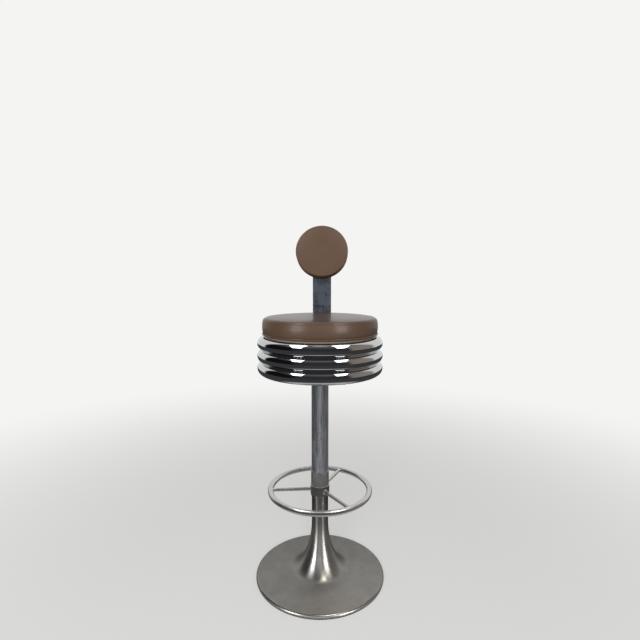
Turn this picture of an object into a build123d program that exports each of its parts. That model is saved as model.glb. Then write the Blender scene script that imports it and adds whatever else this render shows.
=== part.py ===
from build123d import *
from math import asin, cos, degrees, hypot, radians, sin, sqrt, tan
import os

# Bar stool: a trumpet base, a tubular column with a spoked foot ring, and a swivelling round seat
# on a ribbed drum, with a small round backrest on a bent flat bar.
# The origin is on the swivel axis at floor level, +Z is up, and a sitter faces -Y.
# All lengths are in millimetres and all angles in degrees.

os.makedirs("parts", exist_ok=True)

# Clearances
weld_gap = 0.1
running_fit = 0.05
running_gap = 0.05
soft_gap = 0.3
thread_gap = 0.1
bolt_clearance = 0.3

# Trumpet base and the ring that it stands on
base_diameter = 385.0
base_wall = 4.0
base_rim_width = 6.0
base_rim_height = 7.0
base_rim_round = 6.0
base_cone_angle = 8.5
flare_foot_radius = 90.0
flare_foot_pull = 35.0
flare_neck_pull = 75.0
neck_step = 0.5
neck_foot_height = 170.0
neck_collar_step = 2.0
neck_collar_height = 6.0
neck_collar_round = 1.4
shoulder_height = 254.0
spigot_length = 40.0
spigot_chamfer = 1.5
spigot_clearance = 0.1
floor_ring_thickness = 3.0
floor_ring_inset = 1.0
floor_ring_lip_thickness = 2.5

# Ballast and the rod that ties the base to the column
ballast_floor_gap = 5.0
ballast_rim_gap = 6.0
ballast_boss_wall = 15.0
ballast_boss_web = 16.0
ballast_recess_gap = 11.5
tie_rod_floor_gap = 8.0
tie_rod_diameter = 12.0
tie_rod_hole_clearance = 1.0
tie_rod_overrun = 2.0
tie_nut_across_flats = 19.0
tie_nut_height = 10.0
tie_washer_diameter = 37.0
tie_washer_thickness = 4.0

# Column
column_diameter = 50.0
column_wall = 2.0
column_length = 344.0
column_plug_gap = 6.0
column_plug_thickness = 20.0

# Foot ring
hub_bore_clearance = 0.1
hub_collar_wall = 2.9
hub_collar_height = 30.0
hub_sleeve_wall = 1.4
hub_sleeve_height = 44.0
hub_edge_round = 1.0
foot_ring_diameter = 294.0
foot_ring_tube_diameter = 16.0
foot_ring_tube_wall = 1.5
foot_ring_vent_cover = 2.5
spoke_diameter = 10.0
spoke_count = 3
spoke_start_angle = 66.0
grub_screw_diameter = 5.0
grub_screw_sink = 0.2
grub_screw_spread = 30.0
grub_screw_socket_flats = 2.5
grub_screw_socket_depth = 1.4

# Swivel
spindle_diameter = 25.0
spindle_length = 153.0
spindle_chamfer = 1.5
bush_flange_thickness = 3.0
upper_bush_length = 40.0
lower_bush_length = 30.0
circlip_reach = 4.5
circlip_thickness = 2.0
circlip_groove_depth = 1.5
circlip_gap_width = 8.0
circlip_end_distance = 8.0
washer_thickness = 2.0
swivel_flange_edge = 12.0
swivel_flange_thickness = 6.0
flange_bolt_diameter = 8.0
flange_bolt_across_flats = 13.0
flange_bolt_head_height = 5.3
flange_nut_height = 6.5
flange_bolt_edge = 10.0
flange_bolt_spacing_y = 76.0
bolt_overrun = 3.0

# Ribbed drum and the plate that carries it
carrier_edge = 13.0
carrier_thickness = 4.0
carrier_bolt_count = 6
carrier_bolt_edge = 13.0
carrier_bolt_diameter = 6.0
carrier_bolt_across_flats = 10.0
carrier_bolt_head_height = 4.0
carrier_nut_height = 5.0
rib_count = 3
rib_radius = 18.0
rib_circle_radius = 163.0
rib_valley_radius = 2.0
drum_wall = 1.2
drum_flange_width = 43.0
collar_height = 7.0
collar_set_back = 3.0
collar_slope = 6.0

# Seat cushion
seat_overhang = 4.0
seat_thickness = 51.7
seat_crown = 3.0
seat_edge_radius = 9.0
seat_foot_radius = 8.0
seat_draw_in = 2.0
seat_welt_radius = 3.0
seat_welt_sink = 1.0
seat_hem_screw_gap = 12.0
seat_board_thickness = 12.0
cover_thickness = 1.5
board_screw_diameter = 4.5
board_screw_head_diameter = 9.0
board_screw_head_height = 2.6
board_screw_web = 3.0

# Back bar
bar_width = 60.0
bar_thickness = 8.0
bar_drum_gap = 2.0
bar_leg_overhang = 14.0
bar_lower_bend_radius = 14.0
bar_upper_bend_radius = 45.0
bar_bend_above_seat = 112.0
bar_recline = 13.0
bar_top_edge = 34.0
bar_top_corner_radius = 14.0

# Backrest
backrest_diameter = 168.0
backrest_thickness = 45.0
backrest_crown = 3.0
backrest_edge_radius = 3.5
backrest_foot_radius = 2.5
backrest_draw_in = 1.5
backrest_hem_width = 18.0
backrest_board_thickness = 10.0
backrest_panel_thickness = 3.0
backrest_panel_margin = 9.0
backrest_panel_round = 1.0
backrest_above_bend = 74.0
backrest_bolt_spacing = 50.0
backrest_bolt_diameter = 6.0
backrest_bolt_head_diameter = 16.0
backrest_bolt_head_height = 4.5
backrest_bolt_rim_height = 0.9
tee_nut_wall = 1.0
tee_nut_flange_reach = 5.0
tee_nut_flange_thickness = 1.6

# Radii of the base and the column
base_radius = base_diameter / 2
column_radius = column_diameter / 2
neck_radius = column_radius - neck_step
column_bore_radius = column_radius - column_wall
spindle_radius = spindle_diameter / 2
tie_rod_radius = tie_rod_diameter / 2

# Heights of the base, from the floor up
rim_bottom = floor_ring_thickness
rim_top = rim_bottom + base_rim_height
rim_inner_radius = base_radius - base_rim_width
spigot_top = shoulder_height + spigot_length
tie_nut_bottom = tie_rod_floor_gap + tie_rod_overrun
tie_washer_bottom = tie_nut_bottom + tie_nut_height
recess_top = tie_washer_bottom + tie_washer_thickness
plug_bottom = spigot_top + column_plug_gap
plug_top = plug_bottom + column_plug_thickness

# Heights of the foot ring
hub_bottom = shoulder_height
hub_collar_top = hub_bottom + hub_collar_height
hub_top = hub_collar_top + hub_sleeve_height
foot_ring_height = hub_bottom + hub_collar_height / 2

# Heights of the swivel and the seat, stacked on the top of the column
column_top = shoulder_height + column_length
bush_top = column_top + bush_flange_thickness
thrust_top = bush_top + washer_thickness
glide_bottom = thrust_top + running_gap
swivel_flange_bottom = glide_bottom + washer_thickness
swivel_flange_top = swivel_flange_bottom + swivel_flange_thickness
leg_top = swivel_flange_top + bar_thickness
drum_bottom = leg_top + carrier_thickness
rib_pitch = 2 * rib_radius
drum_height = rib_count * rib_pitch + collar_height
drum_top = drum_bottom + drum_height
seat_bottom = drum_top + soft_gap
seat_board_bottom = seat_bottom + cover_thickness
seat_board_top = seat_board_bottom + seat_board_thickness
seat_top = seat_bottom + seat_thickness
spindle_bottom = swivel_flange_top - spindle_length
circlip_bottom = spindle_bottom + circlip_end_distance
lower_bush_bottom = circlip_bottom + circlip_thickness + running_gap

# Radii and angles of the drum and the foot ring
rib_outer_radius = rib_circle_radius + rib_radius
drum_flange_radius = rib_circle_radius - drum_flange_width
carrier_bolt_radius = drum_flange_radius + carrier_bolt_edge
flange_bolt_spacing_x = bar_width - 2 * flange_bolt_edge
foot_ring_radius = foot_ring_diameter / 2
spoke_angles = [spoke_start_angle + 360 / spoke_count * i for i in range(spoke_count)]
grub_screw_angles = [spoke_start_angle - grub_screw_spread, spoke_start_angle + grub_screw_spread]

# The bar's middle line, seen from the side, and the plane of the backrest on its reclined front face
bar_middle_y = rib_outer_radius + bar_drum_gap + bar_thickness / 2
leg_middle_height = leg_top - bar_thickness / 2
bar_bend_height = seat_top + bar_bend_above_seat
recline_up = Vector(0, sin(radians(bar_recline)), cos(radians(bar_recline)))
recline_forward = Vector(0, -cos(radians(bar_recline)), sin(radians(bar_recline)))
bar_bend = Vector(0, bar_middle_y, bar_bend_height)
bar_top_length = backrest_above_bend + backrest_bolt_spacing / 2 + bar_top_edge
bar_end = bar_bend + recline_up * bar_top_length
backrest_seat = bar_bend + recline_up * backrest_above_bend + recline_forward * (bar_thickness / 2)
backrest_plane = Plane(origin=backrest_seat, x_dir=(1, 0, 0), z_dir=recline_forward)
bar_back_plane = backrest_plane.offset(-bar_thickness)
backrest_cover_plane = backrest_plane.offset(backrest_panel_thickness)
backrest_board_plane = backrest_cover_plane.offset(cover_thickness)
backrest_board_front_plane = backrest_board_plane.offset(backrest_board_thickness)
backrest_bolt_points = [(0, backrest_bolt_spacing / 2), (0, -backrest_bolt_spacing / 2)]


def inner_cone(radius):
    """Height of the base shell's inner face, on the straight cone, at a radius."""
    rise = (base_radius - radius) * tan(radians(base_cone_angle))
    return rim_top + rise - base_wall / cos(radians(base_cone_angle))


def radial_plane(angle, distance, height):
    """Plane that faces outwards at an angle round the swivel axis."""
    outwards = Vector(cos(radians(angle)), sin(radians(angle)), 0)
    return Plane(origin=outwards * distance + Vector(0, 0, height), z_dir=outwards)


# Floor ring: a moulded black strip under the rim, with a lip that locates it inside the casting
with BuildPart() as floor_ring:
    lip_inner_radius = rim_inner_radius - soft_gap - floor_ring_lip_thickness
    with BuildSketch(Plane.XZ):
        with Locations((lip_inner_radius, 0)):
            Rectangle(
                base_radius - floor_ring_inset - lip_inner_radius,
                floor_ring_thickness,
                align=(Align.MIN, Align.MIN),
            )
            Rectangle(
                floor_ring_lip_thickness,
                inner_cone(rim_inner_radius) - soft_gap,
                align=(Align.MIN, Align.MIN),
            )
    revolve(axis=Axis.Z)
floor_ring.part.label = "floor_ring"
export_step(floor_ring.part, "parts/floor_ring.step")

# Trumpet base: one cast shell, a shallow cone that flares up into a neck with a turned spigot
with BuildPart() as base_trumpet:
    cone_run = Vector(-cos(radians(base_cone_angle)), sin(radians(base_cone_angle)))
    cone_inwards = Vector(-sin(radians(base_cone_angle)), -cos(radians(base_cone_angle)))
    cone_rise = (base_radius - flare_foot_radius) * tan(radians(base_cone_angle))
    flare_foot = Vector(flare_foot_radius, rim_top + cone_rise)
    inner_flare_foot = flare_foot + cone_inwards * base_wall
    neck_foot = Vector(neck_radius, neck_foot_height)
    inner_neck_foot = neck_foot - Vector(base_wall, 0)
    neck_drop = Vector(0, flare_neck_pull)
    collar_bottom = shoulder_height - neck_collar_height
    collar_radius = neck_radius + neck_collar_step
    spigot_radius = column_bore_radius - spigot_clearance
    spigot_wall = spigot_radius - inner_neck_foot.X
    with BuildSketch(Plane.XZ) as trumpet_section:
        with BuildLine():
            Polyline(
                (rim_inner_radius, inner_cone(rim_inner_radius)),
                (rim_inner_radius, rim_bottom),
                (base_radius, rim_bottom),
                (base_radius, rim_top),
                flare_foot,
            )
            Bezier(flare_foot, flare_foot + cone_run * flare_foot_pull, neck_foot - neck_drop, neck_foot)
            Polyline(
                neck_foot,
                (neck_radius, collar_bottom),
                (collar_radius, collar_bottom),
                (collar_radius, shoulder_height),
                (spigot_radius, shoulder_height),
                (spigot_radius, spigot_top),
                (inner_neck_foot.X, spigot_top),
                inner_neck_foot,
            )
            Bezier(
                inner_neck_foot,
                inner_neck_foot - neck_drop,
                inner_flare_foot + cone_run * flare_foot_pull,
                inner_flare_foot,
            )
            Line(inner_flare_foot, (rim_inner_radius, inner_cone(rim_inner_radius)))
        make_face()
        for corner, corner_round in (
            ((base_radius, rim_top), base_rim_round),
            ((collar_radius, collar_bottom), neck_collar_round),
            ((collar_radius, shoulder_height), neck_collar_round),
        ):
            fillet(trumpet_section.vertices().sort_by_distance(corner)[0], corner_round)
        spigot_corner = trumpet_section.vertices().sort_by_distance((spigot_radius, spigot_top))[0]
        chamfer(spigot_corner, min(spigot_chamfer, spigot_wall / 2))
    revolve(axis=Axis.Z)
base_trumpet.part.label = "base_trumpet"
export_step(base_trumpet.part, "parts/base_trumpet.step")

# Ballast: a cast disc that fills the cone, with a boss round the tie rod and a recess for its nut
with BuildPart() as ballast_disc:
    ballast_hole_radius = tie_rod_radius + tie_rod_hole_clearance
    ballast_radius = lip_inner_radius - ballast_rim_gap
    recess_radius = tie_washer_diameter / 2 + ballast_recess_gap
    boss_radius = recess_radius + ballast_boss_wall
    boss_top = recess_top + ballast_boss_web
    with BuildSketch(Plane.XZ):
        with BuildLine():
            Polyline(
                (ballast_hole_radius, recess_top),
                (recess_radius, recess_top),
                (recess_radius, ballast_floor_gap),
                (ballast_radius, ballast_floor_gap),
                (ballast_radius, inner_cone(ballast_radius) - weld_gap),
                (inner_flare_foot.X, inner_flare_foot.Y - weld_gap),
                (boss_radius, inner_flare_foot.Y - weld_gap),
                (boss_radius, boss_top),
                (ballast_hole_radius, boss_top),
                close=True,
            )
        make_face()
    revolve(axis=Axis.Z)
ballast_disc.part.label = "ballast_disc"
export_step(ballast_disc.part, "parts/ballast_disc.step")

# Tie rod: threaded bar from the nut under the ballast up into the plug in the column
with BuildPart() as tie_rod:
    with BuildSketch(Plane.XY.offset(tie_rod_floor_gap)):
        Circle(tie_rod_radius)
    extrude(amount=plug_top + tie_rod_overrun - tie_rod_floor_gap)
tie_rod.part.label = "tie_rod"
export_step(tie_rod.part, "parts/tie_rod.step")

with BuildPart() as tie_washer:
    with BuildSketch(Plane.XY.offset(tie_washer_bottom)):
        Circle(tie_washer_diameter / 2)
        Circle(tie_rod_radius + bolt_clearance, mode=Mode.SUBTRACT)
    extrude(amount=tie_washer_thickness)
tie_washer.part.label = "tie_washer"
export_step(tie_washer.part, "parts/tie_washer.step")

with BuildPart() as tie_nut:
    with BuildSketch(Plane.XY.offset(tie_nut_bottom)):
        RegularPolygon(tie_nut_across_flats / 2, 6, major_radius=False)
        Circle(tie_rod_radius + thread_gap, mode=Mode.SUBTRACT)
    extrude(amount=tie_nut_height)
tie_nut.part.label = "tie_nut"
export_step(tie_nut.part, "parts/tie_nut.step")

# Column: a drawn tube that stands on the shoulder of the base, round its spigot
with BuildPart() as column_tube:
    with BuildSketch(Plane.XY.offset(shoulder_height)):
        Circle(column_radius)
        Circle(column_bore_radius, mode=Mode.SUBTRACT)
    extrude(amount=column_length)
column_tube.part.label = "column_tube"
export_step(column_tube.part, "parts/column_tube.step")

# Column plug: a tapped disc brazed inside the tube, which the tie rod pulls down
with BuildPart() as column_plug:
    with BuildSketch(Plane.XY.offset(plug_bottom)):
        Circle(column_bore_radius - weld_gap)
        Circle(tie_rod_radius + thread_gap, mode=Mode.SUBTRACT)
    extrude(amount=column_plug_thickness)
column_plug.part.label = "column_plug"
export_step(column_plug.part, "parts/column_plug.step")

# Foot ring hub: a stepped sleeve on the column, with tapped holes for two grub screws at the back
hub_bore_radius = column_radius + hub_bore_clearance
hub_collar_radius = hub_bore_radius + hub_collar_wall
hub_sleeve_radius = hub_bore_radius + hub_sleeve_wall
with BuildPart() as foot_ring_hub:
    with BuildSketch(Plane.XY.offset(hub_bottom)):
        Circle(hub_collar_radius)
    extrude(amount=hub_collar_height)
    with BuildSketch(Plane.XY.offset(hub_collar_top)):
        Circle(hub_sleeve_radius)
    extrude(amount=hub_sleeve_height)
    rims = foot_ring_hub.edges().filter_by(GeomType.CIRCLE)
    fillet(rims.group_by(SortBy.RADIUS)[-1] + rims.sort_by(Axis.Z)[-1:], hub_edge_round)
    with BuildSketch(Plane.XY.offset(hub_bottom)):
        Circle(hub_bore_radius)
    extrude(amount=hub_top - hub_bottom, mode=Mode.SUBTRACT)
    for angle in grub_screw_angles:
        with BuildSketch(radial_plane(angle, 0, foot_ring_height)):
            Circle(grub_screw_diameter / 2)
    extrude(amount=hub_collar_radius, mode=Mode.SUBTRACT)
foot_ring_hub.part.label = "foot_ring_hub"
export_step(foot_ring_hub.part, "parts/foot_ring_hub.step")

# Grub screws: socket screws that clamp the hub to the column, sunk just below its surface
with BuildPart() as hub_grub_screws:
    grub_screw_length = hub_collar_radius - grub_screw_sink - column_radius - running_fit
    for angle in grub_screw_angles:
        with BuildSketch(radial_plane(angle, column_radius + running_fit, foot_ring_height)):
            Circle(grub_screw_diameter / 2 - thread_gap)
    extrude(amount=grub_screw_length)
    for angle in grub_screw_angles:
        with BuildSketch(radial_plane(angle, hub_collar_radius - grub_screw_sink, foot_ring_height)):
            RegularPolygon(grub_screw_socket_flats / 2, 6, major_radius=False)
    extrude(amount=-grub_screw_socket_depth, mode=Mode.SUBTRACT)
hub_grub_screws.part.label = "hub_grub_screws"
export_step(hub_grub_screws.part, "parts/hub_grub_screws.step")

# Foot ring: bent tube, with a vent hole under the end of each spoke
foot_ring_tube_radius = foot_ring_tube_diameter / 2
with BuildPart() as foot_ring:
    with BuildSketch(Plane.XZ):
        with Locations((foot_ring_radius, foot_ring_height)):
            Circle(foot_ring_tube_radius)
            Circle(foot_ring_tube_radius - foot_ring_tube_wall, mode=Mode.SUBTRACT)
    revolve(axis=Axis.Z)
    for angle in spoke_angles:
        with BuildSketch(radial_plane(angle, foot_ring_radius, foot_ring_height)):
            Circle(spoke_diameter / 2 - foot_ring_vent_cover)
    extrude(amount=-foot_ring_tube_diameter, mode=Mode.SUBTRACT)
foot_ring.part.label = "foot_ring"
export_step(foot_ring.part, "parts/foot_ring.step")

# Spokes: solid rods, their ends cut to the round of the hub and of the ring
with BuildPart() as foot_ring_spokes:
    for angle in spoke_angles:
        with BuildSketch(radial_plane(angle, 0, foot_ring_height)):
            Circle(spoke_diameter / 2)
    extrude(amount=foot_ring_radius)
    with BuildSketch(Plane.XY.offset(hub_bottom)):
        Circle(hub_collar_radius + weld_gap)
    extrude(amount=hub_collar_height, mode=Mode.SUBTRACT)
    with BuildSketch(Plane.XZ):
        with Locations((foot_ring_radius, foot_ring_height)):
            Circle(foot_ring_tube_radius + weld_gap)
    revolve(axis=Axis.Z, mode=Mode.SUBTRACT)
foot_ring_spokes.part.label = "foot_ring_spokes"
export_step(foot_ring_spokes.part, "parts/foot_ring_spokes.step")

# Upper bush: moulded nylon, its flange on the top of the column
with BuildPart() as upper_bush:
    with BuildSketch(Plane.XY.offset(column_top - upper_bush_length)):
        Circle(column_bore_radius - running_fit)
    extrude(amount=upper_bush_length)
    with BuildSketch(Plane.XY.offset(column_top)):
        Circle(column_radius)
    extrude(amount=bush_flange_thickness)
    with BuildSketch(Plane.XY.offset(bush_top)):
        Circle(spindle_radius + running_fit)
    extrude(amount=-upper_bush_length - bush_flange_thickness, mode=Mode.SUBTRACT)
upper_bush.part.label = "upper_bush"
export_step(upper_bush.part, "parts/upper_bush.step")

# Lower bush: a nylon sleeve that steadies the spindle's end
with BuildPart() as lower_bush:
    with BuildSketch(Plane.XY.offset(lower_bush_bottom)):
        Circle(column_bore_radius - running_fit)
        Circle(spindle_radius + running_fit, mode=Mode.SUBTRACT)
    extrude(amount=lower_bush_length)
lower_bush.part.label = "lower_bush"
export_step(lower_bush.part, "parts/lower_bush.step")

# Thrust washer: hardened steel, at rest on the bush
with BuildPart() as thrust_washer:
    with BuildSketch(Plane.XY.offset(bush_top)):
        Circle(column_radius)
        Circle(spindle_radius + bolt_clearance, mode=Mode.SUBTRACT)
    extrude(amount=washer_thickness)
thrust_washer.part.label = "thrust_washer"
export_step(thrust_washer.part, "parts/thrust_washer.step")

# Glide washer: nylon, turning with the seat
with BuildPart() as glide_washer:
    with BuildSketch(Plane.XY.offset(glide_bottom)):
        Circle(column_radius)
        Circle(spindle_radius + bolt_clearance, mode=Mode.SUBTRACT)
    extrude(amount=washer_thickness)
glide_washer.part.label = "glide_washer"
export_step(glide_washer.part, "parts/glide_washer.step")

# Spindle: a turned shaft welded into the swivel flange, with a groove for its circlip
groove_radius = spindle_radius - circlip_groove_depth
with BuildPart() as swivel_spindle:
    with BuildSketch(Plane.XY.offset(spindle_bottom)):
        Circle(spindle_radius)
    extrude(amount=spindle_length)
    chamfer(swivel_spindle.edges().sort_by(Axis.Z)[0], spindle_chamfer)
    with BuildSketch(Plane.XY.offset(circlip_bottom - running_fit)):
        Circle(spindle_diameter)
        Circle(groove_radius, mode=Mode.SUBTRACT)
    extrude(amount=circlip_thickness + 2 * running_fit, mode=Mode.SUBTRACT)
swivel_spindle.part.label = "swivel_spindle"
export_step(swivel_spindle.part, "parts/swivel_spindle.step")

# Circlip: a split spring ring under the lower bush, which keeps the seat from lifting off
with BuildPart() as spindle_circlip:
    circlip_radius = spindle_radius + circlip_reach
    with BuildSketch(Plane.XY.offset(circlip_bottom)):
        Circle(circlip_radius)
        Circle(groove_radius + running_fit, mode=Mode.SUBTRACT)
        Rectangle(circlip_gap_width, circlip_radius, align=(Align.CENTER, Align.MIN), mode=Mode.SUBTRACT)
    extrude(amount=circlip_thickness)
spindle_circlip.part.label = "spindle_circlip"
export_step(spindle_circlip.part, "parts/spindle_circlip.step")

# Swivel flange: a thick disc under the leg of the back bar
flange_hole_radius = flange_bolt_diameter / 2 + bolt_clearance
with BuildPart() as swivel_flange:
    with BuildSketch(Plane.XY.offset(swivel_flange_bottom)):
        Circle(hypot(flange_bolt_spacing_x / 2, flange_bolt_spacing_y / 2) + swivel_flange_edge)
        Circle(spindle_radius + weld_gap, mode=Mode.SUBTRACT)
        with GridLocations(flange_bolt_spacing_x, flange_bolt_spacing_y, 2, 2):
            Circle(flange_hole_radius, mode=Mode.SUBTRACT)
    extrude(amount=swivel_flange_thickness)
swivel_flange.part.label = "swivel_flange"
export_step(swivel_flange.part, "parts/swivel_flange.step")

# Carrier plate: a steel disc on the leg of the back bar, bolted to the drum's lower flange
with BuildPart() as carrier_plate:
    with BuildSketch(Plane.XY.offset(leg_top)):
        Circle(carrier_bolt_radius + carrier_edge)
        with GridLocations(flange_bolt_spacing_x, flange_bolt_spacing_y, 2, 2):
            Circle(flange_hole_radius, mode=Mode.SUBTRACT)
        with PolarLocations(carrier_bolt_radius, carrier_bolt_count):
            Circle(carrier_bolt_diameter / 2 + bolt_clearance, mode=Mode.SUBTRACT)
    extrude(amount=carrier_thickness)
carrier_plate.part.label = "carrier_plate"
export_step(carrier_plate.part, "parts/carrier_plate.step")

# Flange bolts: through the swivel flange, the bar's leg and the carrier plate
with BuildPart() as flange_bolts:
    with BuildSketch(Plane.XY.offset(swivel_flange_bottom)):
        with GridLocations(flange_bolt_spacing_x, flange_bolt_spacing_y, 2, 2):
            RegularPolygon(flange_bolt_across_flats / 2, 6, major_radius=False)
    extrude(amount=-flange_bolt_head_height)
    with BuildSketch(Plane.XY.offset(swivel_flange_bottom)):
        with GridLocations(flange_bolt_spacing_x, flange_bolt_spacing_y, 2, 2):
            Circle(flange_bolt_diameter / 2)
    extrude(amount=drum_bottom + flange_nut_height + bolt_overrun - swivel_flange_bottom)
flange_bolts.part.label = "flange_bolts"
export_step(flange_bolts.part, "parts/flange_bolts.step")

with BuildPart() as flange_nuts:
    with BuildSketch(Plane.XY.offset(drum_bottom)):
        with GridLocations(flange_bolt_spacing_x, flange_bolt_spacing_y, 2, 2):
            RegularPolygon(flange_bolt_across_flats / 2, 6, major_radius=False)
            Circle(flange_bolt_diameter / 2 + thread_gap, mode=Mode.SUBTRACT)
    extrude(amount=flange_nut_height)
flange_nuts.part.label = "flange_nuts"
export_step(flange_nuts.part, "parts/flange_nuts.step")

# Carrier bolts: through the carrier plate and the drum's lower flange
lip_top = drum_bottom + drum_wall
with BuildPart() as carrier_bolts:
    with BuildSketch(Plane.XY.offset(leg_top)):
        with PolarLocations(carrier_bolt_radius, carrier_bolt_count):
            RegularPolygon(carrier_bolt_across_flats / 2, 6, major_radius=False)
    extrude(amount=-carrier_bolt_head_height)
    with BuildSketch(Plane.XY.offset(leg_top)):
        with PolarLocations(carrier_bolt_radius, carrier_bolt_count):
            Circle(carrier_bolt_diameter / 2)
    extrude(amount=lip_top + carrier_nut_height + bolt_overrun - leg_top)
carrier_bolts.part.label = "carrier_bolts"
export_step(carrier_bolts.part, "parts/carrier_bolts.step")

with BuildPart() as carrier_nuts:
    with BuildSketch(Plane.XY.offset(lip_top)):
        with PolarLocations(carrier_bolt_radius, carrier_bolt_count):
            RegularPolygon(carrier_bolt_across_flats / 2, 6, major_radius=False)
            Circle(carrier_bolt_diameter / 2 + thread_gap, mode=Mode.SUBTRACT)
    extrude(amount=carrier_nut_height)
carrier_nuts.part.label = "carrier_nuts"
export_step(carrier_nuts.part, "parts/carrier_nuts.step")


def drum_section(inset):
    """Half section of the drum, drawn in by inset: half-round ribs, tight valleys and a sloping collar."""
    radius = rib_radius - inset
    valley = rib_valley_radius + inset
    reach = rib_radius + rib_valley_radius
    turn = degrees(asin(rib_pitch / 2 / reach))
    valley_offset = sqrt(reach**2 - (rib_pitch / 2) ** 2)
    first_rib = drum_bottom + rib_radius
    last_rib = first_rib + (rib_count - 1) * rib_pitch
    collar_foot = rib_circle_radius - collar_set_back - inset / 2
    with BuildLine() as outline:
        for i in range(rib_count):
            rib_height = first_rib + i * rib_pitch
            start = -turn if i else -90
            end = turn if i < rib_count - 1 else 90
            CenterArc((rib_circle_radius, rib_height), radius, start, end - start)
        for i in range(rib_count - 1):
            valley_centre = (rib_circle_radius + valley_offset, first_rib + (i + 0.5) * rib_pitch)
            CenterArc(valley_centre, valley, 180 - turn, 2 * turn)
        Polyline(
            (rib_circle_radius, last_rib + radius),
            (collar_foot, last_rib + radius),
            (collar_foot - collar_slope, last_rib + radius + collar_height),
            (0, last_rib + radius + collar_height),
            (0, first_rib - radius),
            (rib_circle_radius, first_rib - radius),
        )
    make_face(outline.edges())


# Ribbed drum: one spun shell with three half-round ribs, a low collar that lifts the seat off them,
# and a flange turned in at each end
with BuildPart() as ribbed_drum:
    with BuildSketch(Plane.XZ):
        drum_section(0)
    revolve(axis=Axis.Z)
    with BuildSketch(Plane.XZ):
        drum_section(drum_wall)
    revolve(axis=Axis.Z, mode=Mode.SUBTRACT)
    with BuildSketch(Plane.XY.offset(drum_bottom)):
        Circle(drum_flange_radius)
        with PolarLocations(carrier_bolt_radius, carrier_bolt_count):
            Circle(carrier_bolt_diameter / 2 + bolt_clearance)
    extrude(amount=drum_height, mode=Mode.SUBTRACT)
ribbed_drum.part.label = "ribbed_drum"
export_step(ribbed_drum.part, "parts/ribbed_drum.step")


def section_plane(plane, inset):
    """Plane square to a pad's base plane, its Y axis along the pad's thickness, raised by inset."""
    return Plane(origin=plane.offset(inset).origin, x_dir=plane.x_dir, z_dir=-plane.y_dir)


def pad_section(sketch, inset, radius, height, crown, edge_radius, foot_radius, draw_in):
    """Half section of a round pad, drawn in by inset: crowned top, rounded edge, side drawn in below."""
    edge = (radius - inset, height - 2 * inset - crown)
    foot = (radius - inset - draw_in, 0)
    top = (0, height - 2 * inset)
    with BuildLine() as outline:
        Line((0, 0), foot)
        TangentArc(edge, foot, tangent=(0, -1))
        TangentArc(top, edge, tangent=(1, 0))
        Line(top, (0, 0))
    make_face(outline.edges())
    fillet(sketch.vertices().sort_by_distance(edge)[0], edge_radius - inset)
    fillet(sketch.vertices().sort_by_distance(foot)[0], foot_radius - inset)


# Seat board: plywood, with pilot holes for the screws that come up through the drum's flange
seat_radius = rib_circle_radius + seat_overhang
seat_pad = (seat_radius, seat_thickness, seat_crown, seat_edge_radius, seat_foot_radius, seat_draw_in)
seat_plane = Plane.XY.offset(seat_bottom)
foam_inset = cover_thickness + soft_gap
board_screw_depth = seat_board_thickness - board_screw_web
with BuildPart() as seat_board:
    with BuildSketch(Plane.XY.offset(seat_board_bottom)):
        Circle(seat_radius - seat_draw_in - foam_inset)
    extrude(amount=seat_board_thickness)
    fillet(seat_board.edges().sort_by(Axis.Z)[0], seat_foot_radius - cover_thickness)
    with BuildSketch(Plane.XY.offset(seat_board_bottom)):
        with PolarLocations(carrier_bolt_radius, carrier_bolt_count):
            Circle(board_screw_diameter / 2 + thread_gap)
    extrude(amount=board_screw_depth, mode=Mode.SUBTRACT)
seat_board.part.label = "seat_board"
export_step(seat_board.part, "parts/seat_board.step")

# Board screws: pan heads under the drum's upper flange
with BuildPart() as board_screws:
    screw_head_top = drum_top - drum_wall
    with BuildSketch(Plane.XY.offset(screw_head_top)):
        with PolarLocations(carrier_bolt_radius, carrier_bolt_count):
            Circle(board_screw_head_diameter / 2)
    extrude(amount=-board_screw_head_height)
    with BuildSketch(Plane.XY.offset(screw_head_top)):
        with PolarLocations(carrier_bolt_radius, carrier_bolt_count):
            Circle(board_screw_diameter / 2)
    extrude(amount=seat_board_bottom + board_screw_depth - thread_gap - screw_head_top)
board_screws.part.label = "board_screws"
export_step(board_screws.part, "parts/board_screws.step")

# Seat cover: leatherette drawn over the foam and turned under the board as a hem,
# with a welt sewn in round its foot
seat_foot_circle = seat_radius - seat_draw_in - seat_foot_radius
welt_reach = (seat_foot_radius + seat_welt_radius - seat_welt_sink) / sqrt(2)
with BuildPart() as seat_cover:
    with BuildSketch(section_plane(seat_plane, 0)) as cover_outside:
        pad_section(cover_outside, 0, *seat_pad)
    revolve(axis=Axis.Z)
    with BuildSketch(section_plane(seat_plane, cover_thickness)) as cover_inside:
        pad_section(cover_inside, cover_thickness, *seat_pad)
    revolve(axis=Axis.Z, mode=Mode.SUBTRACT)
    with BuildSketch(seat_plane):
        Circle(carrier_bolt_radius + seat_hem_screw_gap)
    extrude(amount=cover_thickness, mode=Mode.SUBTRACT)
    with BuildSketch(section_plane(seat_plane, 0)):
        with Locations((seat_foot_circle + welt_reach, seat_foot_radius - welt_reach)):
            Circle(seat_welt_radius)
    revolve(axis=Axis.Z)
seat_cover.part.label = "seat_cover"
export_step(seat_cover.part, "parts/seat_cover.step")

# Seat foam: moulded to the inside of the cover, on the board
with BuildPart() as seat_foam:
    with BuildSketch(section_plane(seat_plane, foam_inset)) as foam_outside:
        pad_section(foam_outside, foam_inset, *seat_pad)
    revolve(axis=Axis.Z)
    with BuildSketch(Plane.XY.offset(seat_board_top)):
        Circle(seat_radius)
    extrude(amount=-seat_thickness, mode=Mode.SUBTRACT)
seat_foam.part.label = "seat_foam"
export_step(seat_foam.part, "parts/seat_foam.step")

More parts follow.
